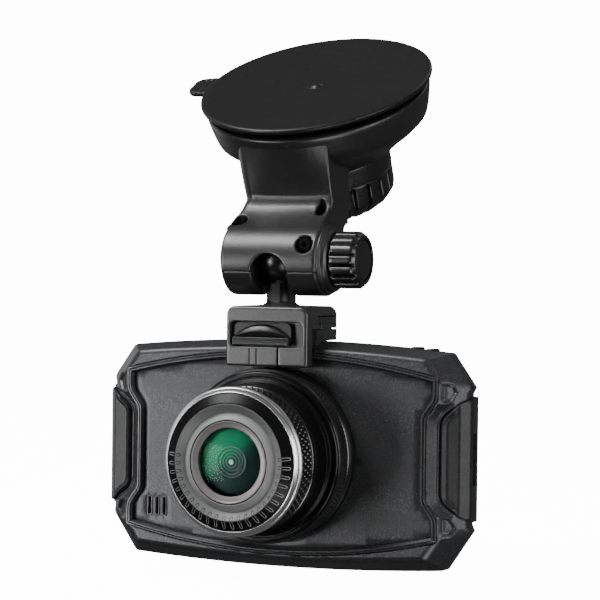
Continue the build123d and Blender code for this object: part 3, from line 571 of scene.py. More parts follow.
def tab_field(p):
    """The tab: ridges across it to grip, and a raised rim."""
    local = (p - CUP_ORIGIN) @ CUP_FRAME.T
    x, y, h = local[..., 0], local[..., 1], local[..., 2]
    taper = np.abs(y) - (TAB_HALF - 0.12 * (TAB_ROOT - x))
    outline = round_max(both(taper, x - TAB_ROOT - 0.5), TAB_END - x, 2.6)
    ridged = TAB_ROOT - 1.0 - x
    ridges = 0.34 * np.maximum(0, 1 - np.abs((ridged % 1.75) - 0.87) / 0.5)
    thick = slab(h, -1.0, 0.42) - np.where(ridged > 0, ridges, 0)
    rim = slab(outline, -0.7, 0.55)
    body = round_max(outline, thick, 0.25)
    return round_min(body, round_max(rim, slab(h, -1.0, 0.72), 0.2), 0.15)


skinned_piece(
    "cup_tab", tab_field, (-37.6, -8, -5), (-28.5, 7, 4), 0.2, "mount", "cup_rubber", crease=50,
)

BELL_PROFILE = soft_corners(
    [
        (27.7, -3.4), (29.6, -3.3), (30.25, -3.7), (30.3, -4.6), (29.3, -9.4), (28.5, -11.8), (25.6, -14.3),
        (22.3, -16.6), (18.2, -19.9), (17.2, -20.0), (17.2, -19.2), (4.3, -19.2), (4.3, -9.8), (8.8, -9.8),
        (8.8, -15.0), (20.0, -14.6), (27.0, -10.2),
    ],
    0.7,
)
turned_piece(
    "mount_bell", BELL_PROFILE, CUP_ORIGIN, CUP_FRAME, "mount", "mount_plastic", count=192, crease=50
)


TWIST_LOBES = 22


def twist_relief(turn, radius, height):
    """Narrow grooves between the lobes of the knob behind the cup."""
    gap = np.abs(from_nearest(turn, TWIST_LOBES)) * np.maximum(radius, 1)
    grooved = np.clip((-26.0 - height) / 0.5, 0, 1) * np.clip((radius - 8.4) / 3.0, 0, 1)
    return -grooved * (np.exp(-((gap / 0.5) ** 4)) + 0.2 * hump(gap, 1.1))


TWIST_PROFILE = fine(
    soft_corners(
        [
            (7.0, -20.4), (4.1, -20.4), (4.1, -35.4), (0.0001, -35.4), (0.0001, -38.0), (8.4, -37.3),
            (12.2, -36.0), (14.6, -34.4), (16.4, -32.0), (16.5, -26.0), (16.2, -25.8), (16.6, -25.5),
            (16.6, -20.6), (16.3, -20.4), (13.4, -20.4), (13.4, -31.0), (7.0, -31.0),
        ],
        0.4,
    ),
    0.9,
)
turned_piece(
    "twist_grip", TWIST_PROFILE, CUP_ORIGIN, CUP_FRAME, "suction_knob", "knob_plastic",
    count=TWIST_LOBES * 18, relief=twist_relief, replaces=("twist_knob",), crease=45,
)

# ---------------------------------------------------------------- arm and ball clamp

SEAM = BALL[2] - 3.5  # height where the clamp's halves meet
CREASE, ARM_FRONT, ARM_REAR, ARM_RIGHT, CORNER_LEFT = -31.6, -17.5, -5.7, 12.6, -13.4
SLOT_HALF = 4.9  # half the width of the slot for the ball's stem
BELL_WALL = 29.95  # radius of the arm's front above the crease, round the cup's axis
FLARE_START, FLARE_BEND, FLARE_END = np.array([(ARM_FRONT, CREASE), (-18.2, -35.8), (-25.75, -39.37)])
FLARE = [
    tuple((1 - share) ** 2 * FLARE_START + 2 * share * (1 - share) * FLARE_BEND + share**2 * FLARE_END)
    for share in np.linspace(0, 1, 25)
]
FLARE += [(BALL[1], BALL[2]), (-11.6, BALL[2]), (-8.2, -38.0), (ARM_REAR, CREASE)]
# Each screw's seat, the way it points, and the depth of its recess. The second recess narrows upwards.
WELL_RADIUS, SCREW_RADIUS, SHANK_RADIUS = 2.1, 1.8, 0.9
TAPERED = (10.0, -18.3, -38.0)
SCREW_SEATS = (
    ((-11.8, -22.5, -40.4), (0, 0, -1), 6.5),
    (TAPERED, (0, 0, -1), 8.0),
    ((9.9, -27.8, -43.6), (0, 1, 0), 6.5),
)


def wells(p, grow):
    """Distance to the three screw recesses."""
    nearest = None
    for seat, way, depth in SCREW_SEATS:
        well = rod_distance(p, seat, way, WELL_RADIUS + grow, -depth, grow, 0.1)
        if seat == TAPERED:
            well = well + 0.27 * np.clip(-(p - np.array(seat)) @ np.array(way, float), 0, depth)
        nearest = well if nearest is None else either(nearest, well)
    return nearest


def arm_body(p):
    """The arm with the round clamp at its foot and the slot for the ball's stem."""
    x, y, z = p[..., 0], p[..., 1], p[..., 2]
    slant = np.array([-22.1, -3.0]) / np.hypot(22.1, 3.0)
    left = (x - CORNER_LEFT) * slant[0] + (z - CREASE) * slant[1]
    rear, right = y - ARM_REAR, x - ARM_RIGHT
    local = (p - CUP_ORIGIN) @ CUP_FRAME.T
    out, height = np.hypot(local[..., 0], local[..., 1]), local[..., 2]
    # Above its crease the front leans with the cup's axis and turns from flat into the bell's round wall.
    rise = np.clip((z - CREASE) / 13.5, 0, 1)
    front = (1 - rise) * -local[..., 1] + rise * out - BELL_WALL
    front = np.where(z > CREASE, front, ARM_FRONT - y)
    upper = round_max(left, front, 4.0)
    upper = round_max(upper, right, 0.5)
    upper = round_max(upper, rear, 1.0)
    upper = both(upper, between(z, -38.0, -8.0))
    flare = polygon_distance(y, z, FLARE)
    shoulder = 0.8 + 3.2 * np.clip((z + 36.5) / 4.9, 0, 1)
    left_end = CORNER_LEFT - 0.8 * np.clip((-33.5 - z) / 4.5, 0, 1) ** 2
    flare = round_max(round_max(flare, right, 0.6), left_end - x, shoulder)
    arm = round_min(upper, flare, 1.0)
    offset = p - BALL
    reach = np.hypot(offset[..., 1], offset[..., 2])
    clamp = round_max(reach - 9.5, np.abs(offset[..., 0]) - 13.5, 0.9)
    body = round_min(arm, clamp, 0.3)
    # Under the bell, behind its wall and round the knob nothing is left of the arm.
    body = both(body, height + 5.4)
    body = without(body, both(out - 28.1, -height - 11.0))
    body = without(body, both(out - 17.3, height + 19.9))
    body = without(body, both(out - 21.5, -height - 16.0))
    seam = both(slab(z, SEAM, 0.17), -(body + 0.4))
    seam = both(seam, z + 45.0)
    body = without(body, seam)
    ahead = BALL[1] - 20 - y
    slot_round = both(np.hypot(x, z - SEAM) - SLOT_HALF, both(y - BALL[1], ahead))
    slot_straight = both(both(np.abs(x) - SLOT_HALF, z - SEAM), both(y + 15.1, ahead))
    body = without(body, either(slot_round, slot_straight), 0.45)
    bore = both(reach - 7.7, np.abs(offset[..., 0]) - 9.2)
    shaft = both(reach - 2.55, both(-x, x - 16))
    return without(body, either(bore, shaft))


def arm_field(p):
    return without(arm_body(p), wells(p, 0.3))


def pit_shade_field(p):
    """Painted shade: a dark lining in the screw recesses, standing for the shade that falls in them."""
    return without(both(arm_body(p) + 0.12, wells(p, 0.31)), wells(p, 0.0))


skinned_piece(
    "mount_arm", arm_field, (-17, -31.5, -58), (14.2, -4.5, -7), 0.3, "mount", "mount_plastic",
    replaces=("mount_housing", "clamp_cover"), crease=62,
)

# A near-black lining paints the shade inside the screw recesses.
skinned_piece(
    "screw_pit_shade", pit_shade_field, (-15, -31.5, -48), (13.5, -15.5, -29), 0.25, "mount", "screw_steel",
    material="screw_black_and_pit_shade", crease=50,
)


def screw_field(p):
    """Three screws, each a round head with a recess and a shank."""
    nearest = None
    for seat, way, _ in SCREW_SEATS:
        socket = rod_distance(p, seat, way, 0.6, -2, -0.6)
        head = without(rod_distance(p, seat, way, SCREW_RADIUS, -1.2, 0.02), socket)
        screw = either(head, rod_distance(p, seat, way, SHANK_RADIUS, -0.3, 3.0, 0.1))
        nearest = screw if nearest is None else either(nearest, screw)
    return nearest


skinned_piece(
    "screw_heads", screw_field, (-15, -31.5, -48), (13.5, -15.5, -29), 0.22, "mount", "screw_steel",
    material="screw_black_and_pit_shade", replaces=("clamp_screws",), crease=40,
)
turned_piece(
    "clamp_dome",
    soft_corners([(0.0001, -15), (5.5, -14.75), (8, -13.95), (8.6, -13.4), (8.6, -13), (0.0001, -13)], 0.5),
    BALL, CLAMP_FRAME, "mount", "mount_plastic", count=96, replaces=("clamp_end_cap",), crease=50,
)
turned_piece(
    "collar_ring",
    soft_corners(
        [
            (2.55, 13.2), (8.8, 13.2), (9.0, 13.5), (9.0, 13.9), (8.75, 14.05), (8.75, 14.25), (8.5, 14.4),
            (8.3, 15.2), (7.7, 15.75), (7.4, 15.8), (2.55, 15.8),
        ],
        0.15,
    ),
    BALL, CLAMP_FRAME, "mount", "mount_plastic", count=96, replaces=("clamp_collar",), crease=40,
)


KNOB_LOBES = 15


def knob_relief(turn, radius, height):
    """Scalloped grooves between the lobes of the clamp's knob, which fade towards its face."""
    gap = np.abs(from_nearest(turn, KNOB_LOBES)) * KNOB_LOBES / pi
    grooved = np.clip((height - 16.3) / 0.25, 0, 1) * np.clip((radius - 6.2) / 0.5, 0, 1)
    fade = np.clip((23.3 - height) / 0.9, 0, 1)
    scallop = 0.85 * hump(gap, 0.24) + 0.28 * (1 - gap) ** 2
    return -grooved * fade * scallop


KNOB_PROFILE = fine(
    soft_corners(
        [
            (2.5, 16.0), (6.9, 16.0), (7.35, 16.4), (7.45, 17.0), (7.4, 22.0), (7.15, 22.5), (6.35, 23.3),
            (5.9, 23.4), (5.45, 23.35), (5.45, 22.6), (2.5, 22.6),
        ],
        0.2,
    ),
    0.5,
)
turned_piece(
    "clamp_grip", KNOB_PROFILE, BALL, CLAMP_FRAME, "tightening_knob", "knob_plastic",
    count=KNOB_LOBES * 20, relief=knob_relief, replaces=("clamp_knob",), crease=50,
)
turned_piece(
    "clamp_disc",
    soft_corners(
        [(0.0001, 22.6), (5.15, 22.6), (5.15, 22.95), (4.8, 23.2), (3.0, 23.26), (0.0001, 23.28)], 0.12
    ),
    BALL, CLAMP_FRAME, "tightening_knob", "knob_plastic", count=96, replaces=("clamp_knob_cap",), crease=50,
)

# ---------------------------------------------------------------- ball, stem and adapter

turned_piece(
    "ball_round",
    [(2.05, -5.6)] + [(6 * sin(t), -6 * cos(t)) for t in np.linspace(0.37, pi - 0.001, 40)]
    + [(0.0001, 2.0), (2.05, 2.0)],
    BALL, np.eye(3), "joint_ball", "ball_plastic", count=96, replaces=("ball",), crease=50,
)
softened("stem_cross", "ball_stem", "adapter", "adapter_plastic", 0.3)


def adapter_field(p):
    """The adapter's housing, with a recess for the slider and a groove that takes the camera's rail."""
    x, y, z = p[..., 0], p[..., 1], p[..., 2]
    half, front, rear = 11.5, -30.3, -10.4
    top, bottom, groove_floor = -59.6, -75.1, -65.3
    upper = round_max(np.abs(x) - half, z - top, 2.3)
    lip = round_max(upper, bottom - z, 0.8)
    lip = round_max(lip, y + 26.6, 0.4)
    shelf = both(upper, groove_floor - z)
    shelf = round_max(shelf, y - rear, 0.6)
    body = either(lip, shelf)
    body = round_max(body, front - y, 0.75)
    middle = -17.3
    neck = both(slab(y, middle, 3.6), slab(z, -64.6, 1.7))
    head = both(slab(y, middle, 5.6), slab(z, -63.15, 1.05))
    body = without(body, either(neck, head), 0.25)
    recess = round_max(slab(x, -0.1, 10.3), slab(z, -66.85, 3.25), 1.6)
    recess = both(recess, y + 27.6)
    body = without(body, recess, 0.35)
    latch = both(between(x, -4.2, 6.0), both(slab(z, -66.5, 1.0), y + 26.0))
    body = without(body, latch)
    depth = front - y
    for place in (-4.6, -2.6):
        line = both(slab(x, place, 0.16), between(z, -74.7, -70.5))
        body = without(body, both(line, -depth - 0.22))
    slit = both(slab(x, 3.3, 0.22), z + 70.0)
    return without(body, both(slit, -depth - 0.95))


skinned_piece(
    "adapter_shoe", adapter_field, (-12.2, -31, -75.8), (12.2, -9.8, -59), 0.2, "adapter",
    "adapter_plastic", replaces=("adapter_housing",), crease=50,
)


def slider_field(p):
    """The release slider: a plate with a half-moon for the thumb and a grooved foot."""
    x, y, z = p[..., 0], p[..., 1], p[..., 2]
    plate = round_max(slab(x, -1.85, 8.25), slab(z, -66.85, 2.95), 1.5)
    plate = both(plate, between(y, -28.9, -27.9))
    # The half-moon swells forward from its round edge.
    moon = both(np.hypot(x + 1.9, z + 75.7) - 11.4, -67.6 - z)
    swell = -29.0 - 1.55 * np.sqrt(np.clip(-moon / 2.2, 0, 1))
    moon = both(moon, both((swell - y) * 0.55, y + 28.5))
    foot = round_max(slab(x, -1.9, 8.0), slab(z, -68.65, 1.05), 0.3)
    foot = round_max(foot, between(y, -30.1, -28.5), 0.25)
    grooves = either(slab(z, -68.95, 0.16), slab(z, -68.15, 0.16))
    foot = without(foot, both(grooves, y + 29.6))
    body = either(round_min(moon, foot, 0.1), plate)
    tick = both(slab(x, -1.9, 0.14), slab(z, -66.0, 0.7))
    return without(body, both(tick, y + 30.2))


skinned_piece(
    "slider_thumb", slider_field, (-10.6, -31.2, -70.3), (7, -27.4, -63.2), 0.13, "lock_slider",
    "slider_plastic", replaces=("release_slider",), crease=45,
)

# ---------------------------------------------------------------- camera case

# Case coordinates: across, up, and forward, the way the lens looks. Outlines are symmetric left to right.
TOP, TOP_BOW, BOTTOM, BOTTOM_BOW = (44.9, 26.9), 2.3, (44.0, 28.6), 1.7
SIDE, NOTCH = (50.9, 18.3), (50.1, 16.7)  # the side edge steps in at the notch, where the grips are
CREST, CREST_BOW, CREST_SIDE = (40.6, 25.4), 2.0, (45.2, 19.9)
EDGE, SPLIT, CREST_HEIGHT = -4.6, -5.0, 1.6
CORNER, WAIST, SHOULDER, CROWN = (42.3, 19.5), 39.1, 15.5, 24.6
GRIP_IN, GRIP_OUT, GRIP_FACE = (43.9, 10.6), (51.3, 16.0), -1.0


def crown_arc(sign):
    """The panel's bowed edge, above or below, from right to left."""
    across, up = CORNER
    places = np.linspace(across, -across, 61)
    return [(u, sign * (up + (CROWN - up) * (1 - (u / across) ** 2))) for u in places]


def waist_curve():
    """Right edge of the panel, from the bottom corner up to the top one."""
    s_curve = [(CORNER[0], SHOULDER), (WAIST, 11.1), (WAIST, 8.0)]
    bend = soft_corners([(CORNER[0], 18.0), *s_curve], 3.4, 8)
    upper = [tuple(point) for point in bend[::-1]]
    lower = [(u, -v) for u, v in upper[::-1]]
    straight = [(WAIST, v) for v in np.linspace(-6.5, 6.5, 9)]
    return [(CORNER[0], -CORNER[1]), *lower, *straight, *upper]


RIGHT_EDGE = waist_curve()
PANEL = (
    RIGHT_EDGE
    + crown_arc(1)
    + [(-u, v) for u, v in RIGHT_EDGE[1:][::-1]]
    + crown_arc(-1)[::-1][:-1]
)
PANEL = np.array(PANEL)[np.linalg.norm(np.array(PANEL) - np.roll(PANEL, 1, axis=0), axis=1) > 1e-3]
GRIP_RING = soft_corners(
    [(GRIP_IN[0], GRIP_IN[1]), GRIP_OUT, (GRIP_OUT[0], -GRIP_OUT[1]), (GRIP_IN[0], -GRIP_IN[1])], 2.2, 6, True
)


def in_case(p):
    return p[..., 0] - CASE[0], p[..., 2] - CASE[2], CASE[1] - p[..., 1]


def facet(u, v, f, low_edge, crest_point):
    """Distance to the plane through an edge at the outer height and a point at the crest."""
    a = np.array([*low_edge[0], EDGE])
    b = np.array([*low_edge[1], EDGE])
    c = np.array([*crest_point, CREST_HEIGHT])
    normal = np.cross(b - a, c - a)
    normal /= np.linalg.norm(normal)
    if normal[2] < 0:
        normal = -normal
    return (u - a[0]) * normal[0] + (v - a[1]) * normal[1] + (f - a[2]) * normal[2]


def bowed(u, v, f, low, low_bow, high, high_bow):
    """Distance to a bowed slope from the outer edge up to the crest."""
    share = (f - EDGE) / (CREST_HEIGHT - EDGE)
    low_line = low[1] + low_bow * (1 - (u / low[0]) ** 2)
    high_line = high[1] + high_bow * (1 - (u / high[0]) ** 2)
    line = low_line + (high_line - low_line) * share
    slope = (low[1] - high[1]) / (CREST_HEIGHT - EDGE)
    return (v - line) / np.hypot(1.0, slope)


def shell_field(u, v, f):
    """Sloped outer faces of the case's front."""
    f = np.maximum(f, EDGE)
    au = np.abs(u)
    over = bowed(u, v, f, TOP, TOP_BOW, CREST, CREST_BOW)
    under = bowed(u, -v, f, BOTTOM, BOTTOM_BOW, CREST, CREST_BOW)
    upper_corner = facet(au, v, f, (TOP, SIDE), CREST)
    lower_corner = facet(au, -v, f, (BOTTOM, SIDE), CREST)
    body = round_max(over, upper_corner, 0.5)
    body = round_max(body, round_max(under, lower_corner, 0.5), 0.4)
    side = facet(au, v, f, (SIDE, (SIDE[0], -SIDE[1])), CREST_SIDE)
    body = round_max(body, side, 0.6)
    return round_max(body, f - CREST_HEIGHT, 1.1)


def dimple(u, v):
    """Depth of the soft dark hollows between the trim's shoulders and the corner facets."""
    au, av = np.abs(u), np.abs(v)
    side = smax(43.9 - au, au - 48.4 + 0.5 * np.abs(av - 17.2), 1.0)
    hollow = smax(side, smax(av - 19.8, 13.6 - av, 1.0), 1.0)
    return 1.3 * np.clip(-hollow / 1.2, 0, 1) ** 1.3


def frame_field(p):
    """The case's front frame, with an opening for the panel and its trim, and funnels for the grips."""
    u, v, f = in_case(p)
    au = np.abs(u)
    body = shell_field(u, v, f + dimple(u, v))
    beyond = np.clip((np.abs(v) - NOTCH[1]) / (SIDE[1] - NOTCH[1]), 0, 1)
    outline = np.where(np.abs(v) < SIDE[1], au - NOTCH[0] - 0.8 * beyond, -1.0)
    body = round_max(body, outline, 0.2)
    body = both(body, SPLIT - f)
    panel = polygon_distance(u, v, PANEL[::2])
    body = without(body, panel)
    body = without(body, both(panel - 1.78, 0.2 - f), 0.15)
    grip = polygon_distance(au, v, GRIP_RING)
    body = without(body, grip - 0.12)
    # A funnel rises from the grip's face to the crest, with a thin ridge near its foot.
    floor = GRIP_FACE - 0.15 + 1.35 * smax(grip - 0.95, 0 * grip, 0.4)
    floor = floor + 0.5 * hump(grip - 0.55, 0.28)
    return round_max(body, (f - floor) / 1.5, 0.12)


skinned_piece(
    "case_frame", frame_field, CASE - (52.0, 2.4, 31.2), CASE + (52.0, 0.6 - SPLIT, 30.2), 0.27, "camera",
    "case_paint", replaces=("front_frame",), crease=42,
)

TRIM_PROFILE = [
    (0.08, 0.2), (0.08, 1.05), (0.2, 1.25), (0.38, 1.55), (0.5, 1.86), (0.62, 1.98), (0.78, 1.98),
    (0.88, 1.86), (0.95, 1.6), (1.02, 1.42), (1.12, 1.44), (1.2, 1.66), (1.32, 1.76), (1.48, 1.74),
    (1.6, 1.6), (1.68, 1.3), (1.7, 0.2),
]
piece("case_trim", *swept(PANEL, TRIM_PROFILE, CASE, FRONT_FRAME), "camera", "trim_paint", ("panel_trim",))


def flat_fill(outer, holes, spacing, height, margin=0.4):
    """Triangulated plate inside an outline and round some holes, at a height that varies over it."""
    outer = np.asarray(outer, float)
    low, high = outer.min(0), outer.max(0)
    u, v = np.meshgrid(np.arange(low[0], high[0], spacing), np.arange(low[1], high[1], spacing))
    inner = np.column_stack([u.ravel(), v.ravel()])
    keep = polygon_distance(inner[:, 0], inner[:, 1], outer) < -margin
    for hole in holes:
        keep &= polygon_distance(inner[:, 0], inner[:, 1], hole) > margin
    points, edges = [], []
    for loop in (outer, *holes):
        start = len(points)
        points += [Vector(point) for point in loop]
        edges += [(start + index, start + (index + 1) % len(loop)) for index in range(len(loop))]
    points += [Vector(point) for point in inner[keep]]
    made, _, faces, *_ = delaunay_2d_cdt(points, edges, [], 0, 1e-6)
    flat = np.array([(point[0], point[1]) for point in made])
    middle = np.array([flat[list(face)].mean(0) for face in faces])
    good = polygon_distance(middle[:, 0], middle[:, 1], outer) < 0
    for hole in holes:
        good &= polygon_distance(middle[:, 0], middle[:, 1], hole) > 0
    faces = [face for face, wanted in zip(faces, good) if wanted]
    return np.column_stack([flat, height(flat[:, 0], flat[:, 1])]), faces


def ring_outline(centre, radius, count):
    turn = np.linspace(0, 2 * pi, count, endpoint=False)
    return np.column_stack([centre[0] + radius * np.cos(turn), centre[1] + radius * np.sin(turn)])


def stadium(centre, half_width, half_length):
    straight = half_length - half_width
    upper = np.array([(half_width * cos(t), straight + half_width * sin(t)) for t in np.linspace(0, pi, 8)])
    return np.concatenate([upper, -upper]) + np.array(centre)


PANEL_RADIUS = 735.0  # the panel bulges forward a little, up and down


def panel_height(u, v):
    return 0.5 - v * v / (2 * PANEL_RADIUS)


LENS_PLACE = (LENS[0] - CASE[0], LENS[2] - CASE[2])
MIC_PLACES = (-37.5, -35.3, -33.2)
slots = [stadium((across, -15.6), 0.42, 2.4) for across in MIC_PLACES]
lens_hole = ring_outline(LENS_PLACE, 22.72, 160)
edge_in = PANEL + miters(PANEL) * 0.15
top, top_faces = flat_fill(edge_in, [lens_hole, *slots], 2.2, panel_height)
panel_points, panel_faces = list(top), [list(face) for face in top_faces]


def wall(outline, low, inward):
    """Rounded edge and side wall that hang from an outline in the plate."""
    start = len(panel_points)
    side = miters(outline) * inward
    for offset, drop in ((0.0, 0.0), (0.09, 0.05), (0.14, 0.16), (0.15, low)):
        for (u, v), (du, dv) in zip(outline, side):
            panel_points.append((u + du * offset, v + dv * offset, panel_height(u, v) - drop))
    panel_faces.extend([start + index for index in face] for face in grid_faces(4, len(outline), False))


wall(edge_in, 2.4, -1)
wall(lens_hole, 2.4, 1)
for slot in slots:
    wall(slot, 1.4, 1)
panel_points = placed(panel_points, CASE, FRONT_FRAME)
piece("case_panel", panel_points, panel_faces, "camera", "case_paint", ("front_panel",))
MIC_LIP = [(0.02, 0.24), (0.0, 0.5), (0.1, 0.61), (0.24, 0.61), (0.36, 0.48), (0.4, 0.29)]
for number, slot in enumerate(slots):
    piece(f"mic_lip_{number + 1}", *swept(slot[::-1], MIC_LIP, CASE, FRONT_FRAME), "camera", "trim_paint")


def grip_piece(name, side, node):
    def field(p):
        u, v, f = in_case(p)
        u = u * side
        edge = polygon_distance(u, v, GRIP_RING)
        inner = either(-edge, 3.0)
        # Rounded rim along the inner and slanted edges, which sinks to the flat face.
        rim = 0.85 * hump(inner - 0.75, 0.55) * np.clip((48.6 - u) / 1.2, 0, 1)
        face = f - (GRIP_FACE - 0.12 + rim)
        band = ((u - 48.9) * 2.5 + (f - GRIP_FACE) * 2.4) / np.hypot(2.5, 2.4)
        return both(round_max(round_max(face, band, 0.25), edge, 0.35), SPLIT - f)

    near, far = (43, 52) if side > 0 else (-52, -43)
    low, high = CASE + (near, -0.4, -17), CASE + (far, 0.6 - SPLIT, 17)
    skinned_piece(name, field, low, high, 0.2, "camera", "grip_paint", replaces=(node,), crease=42)


grip_piece("grip_left", -1, "left_grip")
grip_piece("grip_right", 1, "right_grip")
softened("case_rear", "rear_shell", "camera", "case_paint", 0.3)
softened("rail_top", "camera_rail", "camera", "case_paint", 0.2)

# ---------------------------------------------------------------- lens

LENS_ORIGIN = np.array([LENS[0], CASE[1], LENS[2]])
TEETH, STUDS = 120, 72


def lens_piece(name, profile, slot_name, **more):
    turned_piece(name, profile, LENS_ORIGIN, FRONT_FRAME, "camera", slot_name, **more)


def ring(name, node, slot_name, corner_radius, crease, profile, count=192):
    """A plain ring round the lens's axis, with rounded corners, which stands for a CAD node."""
    profile = soft_corners(profile, corner_radius)
    lens_piece(name, profile, slot_name, count=count, replaces=(node,), crease=crease)


def tooth_relief(turn, radius, height):
    """Two staggered rows of small pointed teeth round the base ring's front."""
    relief = np.zeros_like(turn)
    for middle, shift in ((5.0, 0.0), (6.6, 0.5)):
        gap = np.abs(from_nearest(turn, TEETH, shift)) * TEETH / pi
        along = np.abs(height - middle) / 0.85
        relief = np.maximum(relief, np.clip(1 - gap * 0.9 - along, 0, 0.55) / 0.55)
    return np.where(radius > 22.0, 0.42 * relief**0.7, 0)


BASE_PROFILE = np.concatenate(
    [
        [(8.1, -2.2), (8.1, -3.6), (24.4, -3.6), (24.4, -2.65), (22.6, -2.65), (22.6, 1.0), (22.5, 3.6)],
        [(22.15, 3.9)],
        [(22.15, height) for height in np.linspace(4.0, 7.7, 18)],
        [(22.15, 7.8), (22.45, 8.0), (22.5, 8.3), (22.3, 8.75), (21.95, 9.2), (21.87, 8.6), (21.85, 8.35)],
        [(17.0, 8.35), (17.0, -2.2)],
    ]
)
lens_piece(
    "base_ring", BASE_PROFILE, "knurl_black",
    count=TEETH * 8, relief=tooth_relief, replaces=("lens_base_ring",), crease=48,
)
ring("base_face", "base_trim_ring", "grey_satin", 0.1, 35, [
    (20.25, 8.4), (21.82, 8.4), (21.82, 9.75), (21.55, 10.0), (20.75, 10.02), (20.6, 9.9), (20.25, 9.9),
])
ring("barrel_tube", "lens_barrel", "lens_black", 0.25, 35, [
    (16.0, 8.4), (20.2, 8.4), (20.2, 10.05), (19.9, 10.3), (19.2, 10.6), (18.9, 13.0), (18.75, 16.3),
    (18.3, 16.4), (17.6, 16.4), (17.6, 24.8), (16.0, 24.8),
])


def stud_relief(turn, radius, height):
    """Staggered rows of small studs round the grip ring."""
    relief = np.zeros_like(turn)
    for middle, shift in ((18.2, 0.0), (19.9, 0.5), (21.6, 0.0), (23.3, 0.5)):
        gap = from_nearest(turn, STUDS, shift) * 18.1 / 0.36
        along = (height - middle) / 0.42
        relief = np.maximum(relief, np.clip(1.3 - gap**4 - along**4, 0, 1))
    return np.where(radius > 18.0, 0.42 * relief, 0)


GRIP_PROFILE = np.concatenate(
    [
        [(17.65, 16.45), (18.5, 16.45), (18.5, 16.85), (18.1, 17.0)],
        [(18.08, height) for height in np.linspace(17.1, 24.4, 44)],
        [(18.1, 24.5), (18.4, 24.6), (18.4, 24.8), (17.65, 24.8)],
    ]
)
lens_piece(
    "grip_studs", GRIP_PROFILE, "knurl_black",
    count=STUDS * 12, relief=stud_relief, replaces=("grip_ring",), crease=60,
)
ring("chrome_bezel", "chrome_ring", "bright_chrome", 0.1, 40, [
    (17.37, 24.85), (18.7, 24.85), (18.9, 25.05), (18.9, 25.45), (18.55, 25.95), (18.4, 26.0),
    (18.25, 26.35), (17.8, 26.95), (17.6, 27.2), (17.45, 27.25), (17.37, 27.1),
], 224)
ring("front_face", "front_ring", "lens_black", 0.1, 35, [
    (13.4, 24.85), (17.3, 24.85), (17.3, 27.05), (17.1, 27.2), (15.1, 28.52), (14.85, 28.66),
    (14.76, 28.6), (14.76, 26.6), (13.4, 26.6),
])
ring("scale_face", "scale_ring", "scale_grey", 0.1, 35, [
    (12.46, 26.65), (14.7, 26.65), (14.7, 28.6), (14.55, 28.68), (12.46, 27.26),
])
ring("cone_face", "cone_bezel", "cone_grey", 0.08, 35, [
    (10.52, 25.6), (12.45, 26.6), (12.45, 27.22), (10.85, 28.45), (10.62, 28.48), (10.52, 28.3),
])
ring("retaining_face", "retaining_ring", "rim_metal", 0.06, 30, [
    (8.8, 27.2), (10.38, 27.2), (10.38, 28.3), (10.25, 28.5), (10.05, 28.46), (9.9, 28.3),
    (8.95, 28.12), (8.62, 28.0), (8.6, 27.6),
])

# A thin black line between the cone and the retaining ring.
THREAD_PROFILE = [(10.36, 28.1), (10.56, 28.1), (10.6, 28.42), (10.5, 28.52), (10.36, 28.46)]
lens_piece("black_thread", THREAD_PROFILE, "lens_black", count=160, crease=60)


def front_height(radius):
    """Height of the lens's front rings, forward of the case's plane, at a radius."""
    return np.interp(radius, (12.46, 14.6, 14.8, 17.2), (27.27, 28.66, 28.66, 27.15))


LOOPS, LOOP_PITCH, LOOP_HALF, LOOP_WIRE = 24, 8.3, 0.34, 0.08
LOOP_TOP = 28.69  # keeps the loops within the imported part's box


def loops(name, bend_at, open_at, slot_name, material):
    """Marks round the lower part of the scale, each a thin loop, bent at one radius and open at another."""
    sign = 1 if bend_at > open_at else -1
    bend = [(LOOP_HALF * cos(t), LOOP_HALF * sin(t)) for t in np.linspace(pi / 2, -pi / 2, 9)]
    path = [(bend_at + sign * (a - LOOP_HALF), b) for a, b in bend]
    path = fine([(open_at, LOOP_HALF), *path, (open_at, -LOOP_HALF)], 0.4)
    tangent = np.gradient(path, axis=0)
    tangent /= np.linalg.norm(tangent, axis=1)[:, None]
    across = np.column_stack([-tangent[:, 1], tangent[:, 0]])
    count, sides = len(path), 6
    points, faces = [], []
    for index in range(LOOPS):
        turn = radians(-90 + LOOP_PITCH * (index - (LOOPS - 1) / 2))
        start = len(points)
        for t in np.linspace(0, 2 * pi, sides, endpoint=False):
            for radial, around in path + across * LOOP_WIRE * cos(t):
                x = radial * cos(turn) - around * sin(turn)
                y = radial * sin(turn) + around * cos(turn)
                height = front_height(np.hypot(radial, around)) + 0.02 + 0.7 * LOOP_WIRE * sin(t)
                points.append((x, y, min(height, LOOP_TOP)))
        for row in range(sides):
            for column in range(count - 1):
                a, b = start + row * count + column, start + (row + 1) % sides * count + column
                faces.append((a, a + 1, b + 1, b))
        first_end = [start + row * count for row in range(sides)]
        faces += [first_end, [corner + count - 1 for corner in first_end][::-1]]
    piece(name, placed(points, LENS_ORIGIN, FRONT_FRAME), faces, "camera", slot_name, (), 60, material)


loops("scale_loops_out", 16.7, 14.85, "cone_grey", "mark_grey")
loops("scale_loops_in", 13.5, 14.7, "lens_black", "lens_black")

DOME_CREST, DOME_RADIUS = 28.3, 36.0
DOME = [
    (share * GLASS_EDGE, DOME_CREST - DOME_RADIUS + np.sqrt(DOME_RADIUS**2 - (share * GLASS_EDGE) ** 2))
    for share in np.linspace(1, 0.0001, 30)
]
DOME = [(0.0001, 27.0), (4.0, 26.9), (GLASS_EDGE, 26.6), *DOME]
lens_piece("glass_dome", DOME, "lens_glass", replaces=("front_lens",), crease=60)
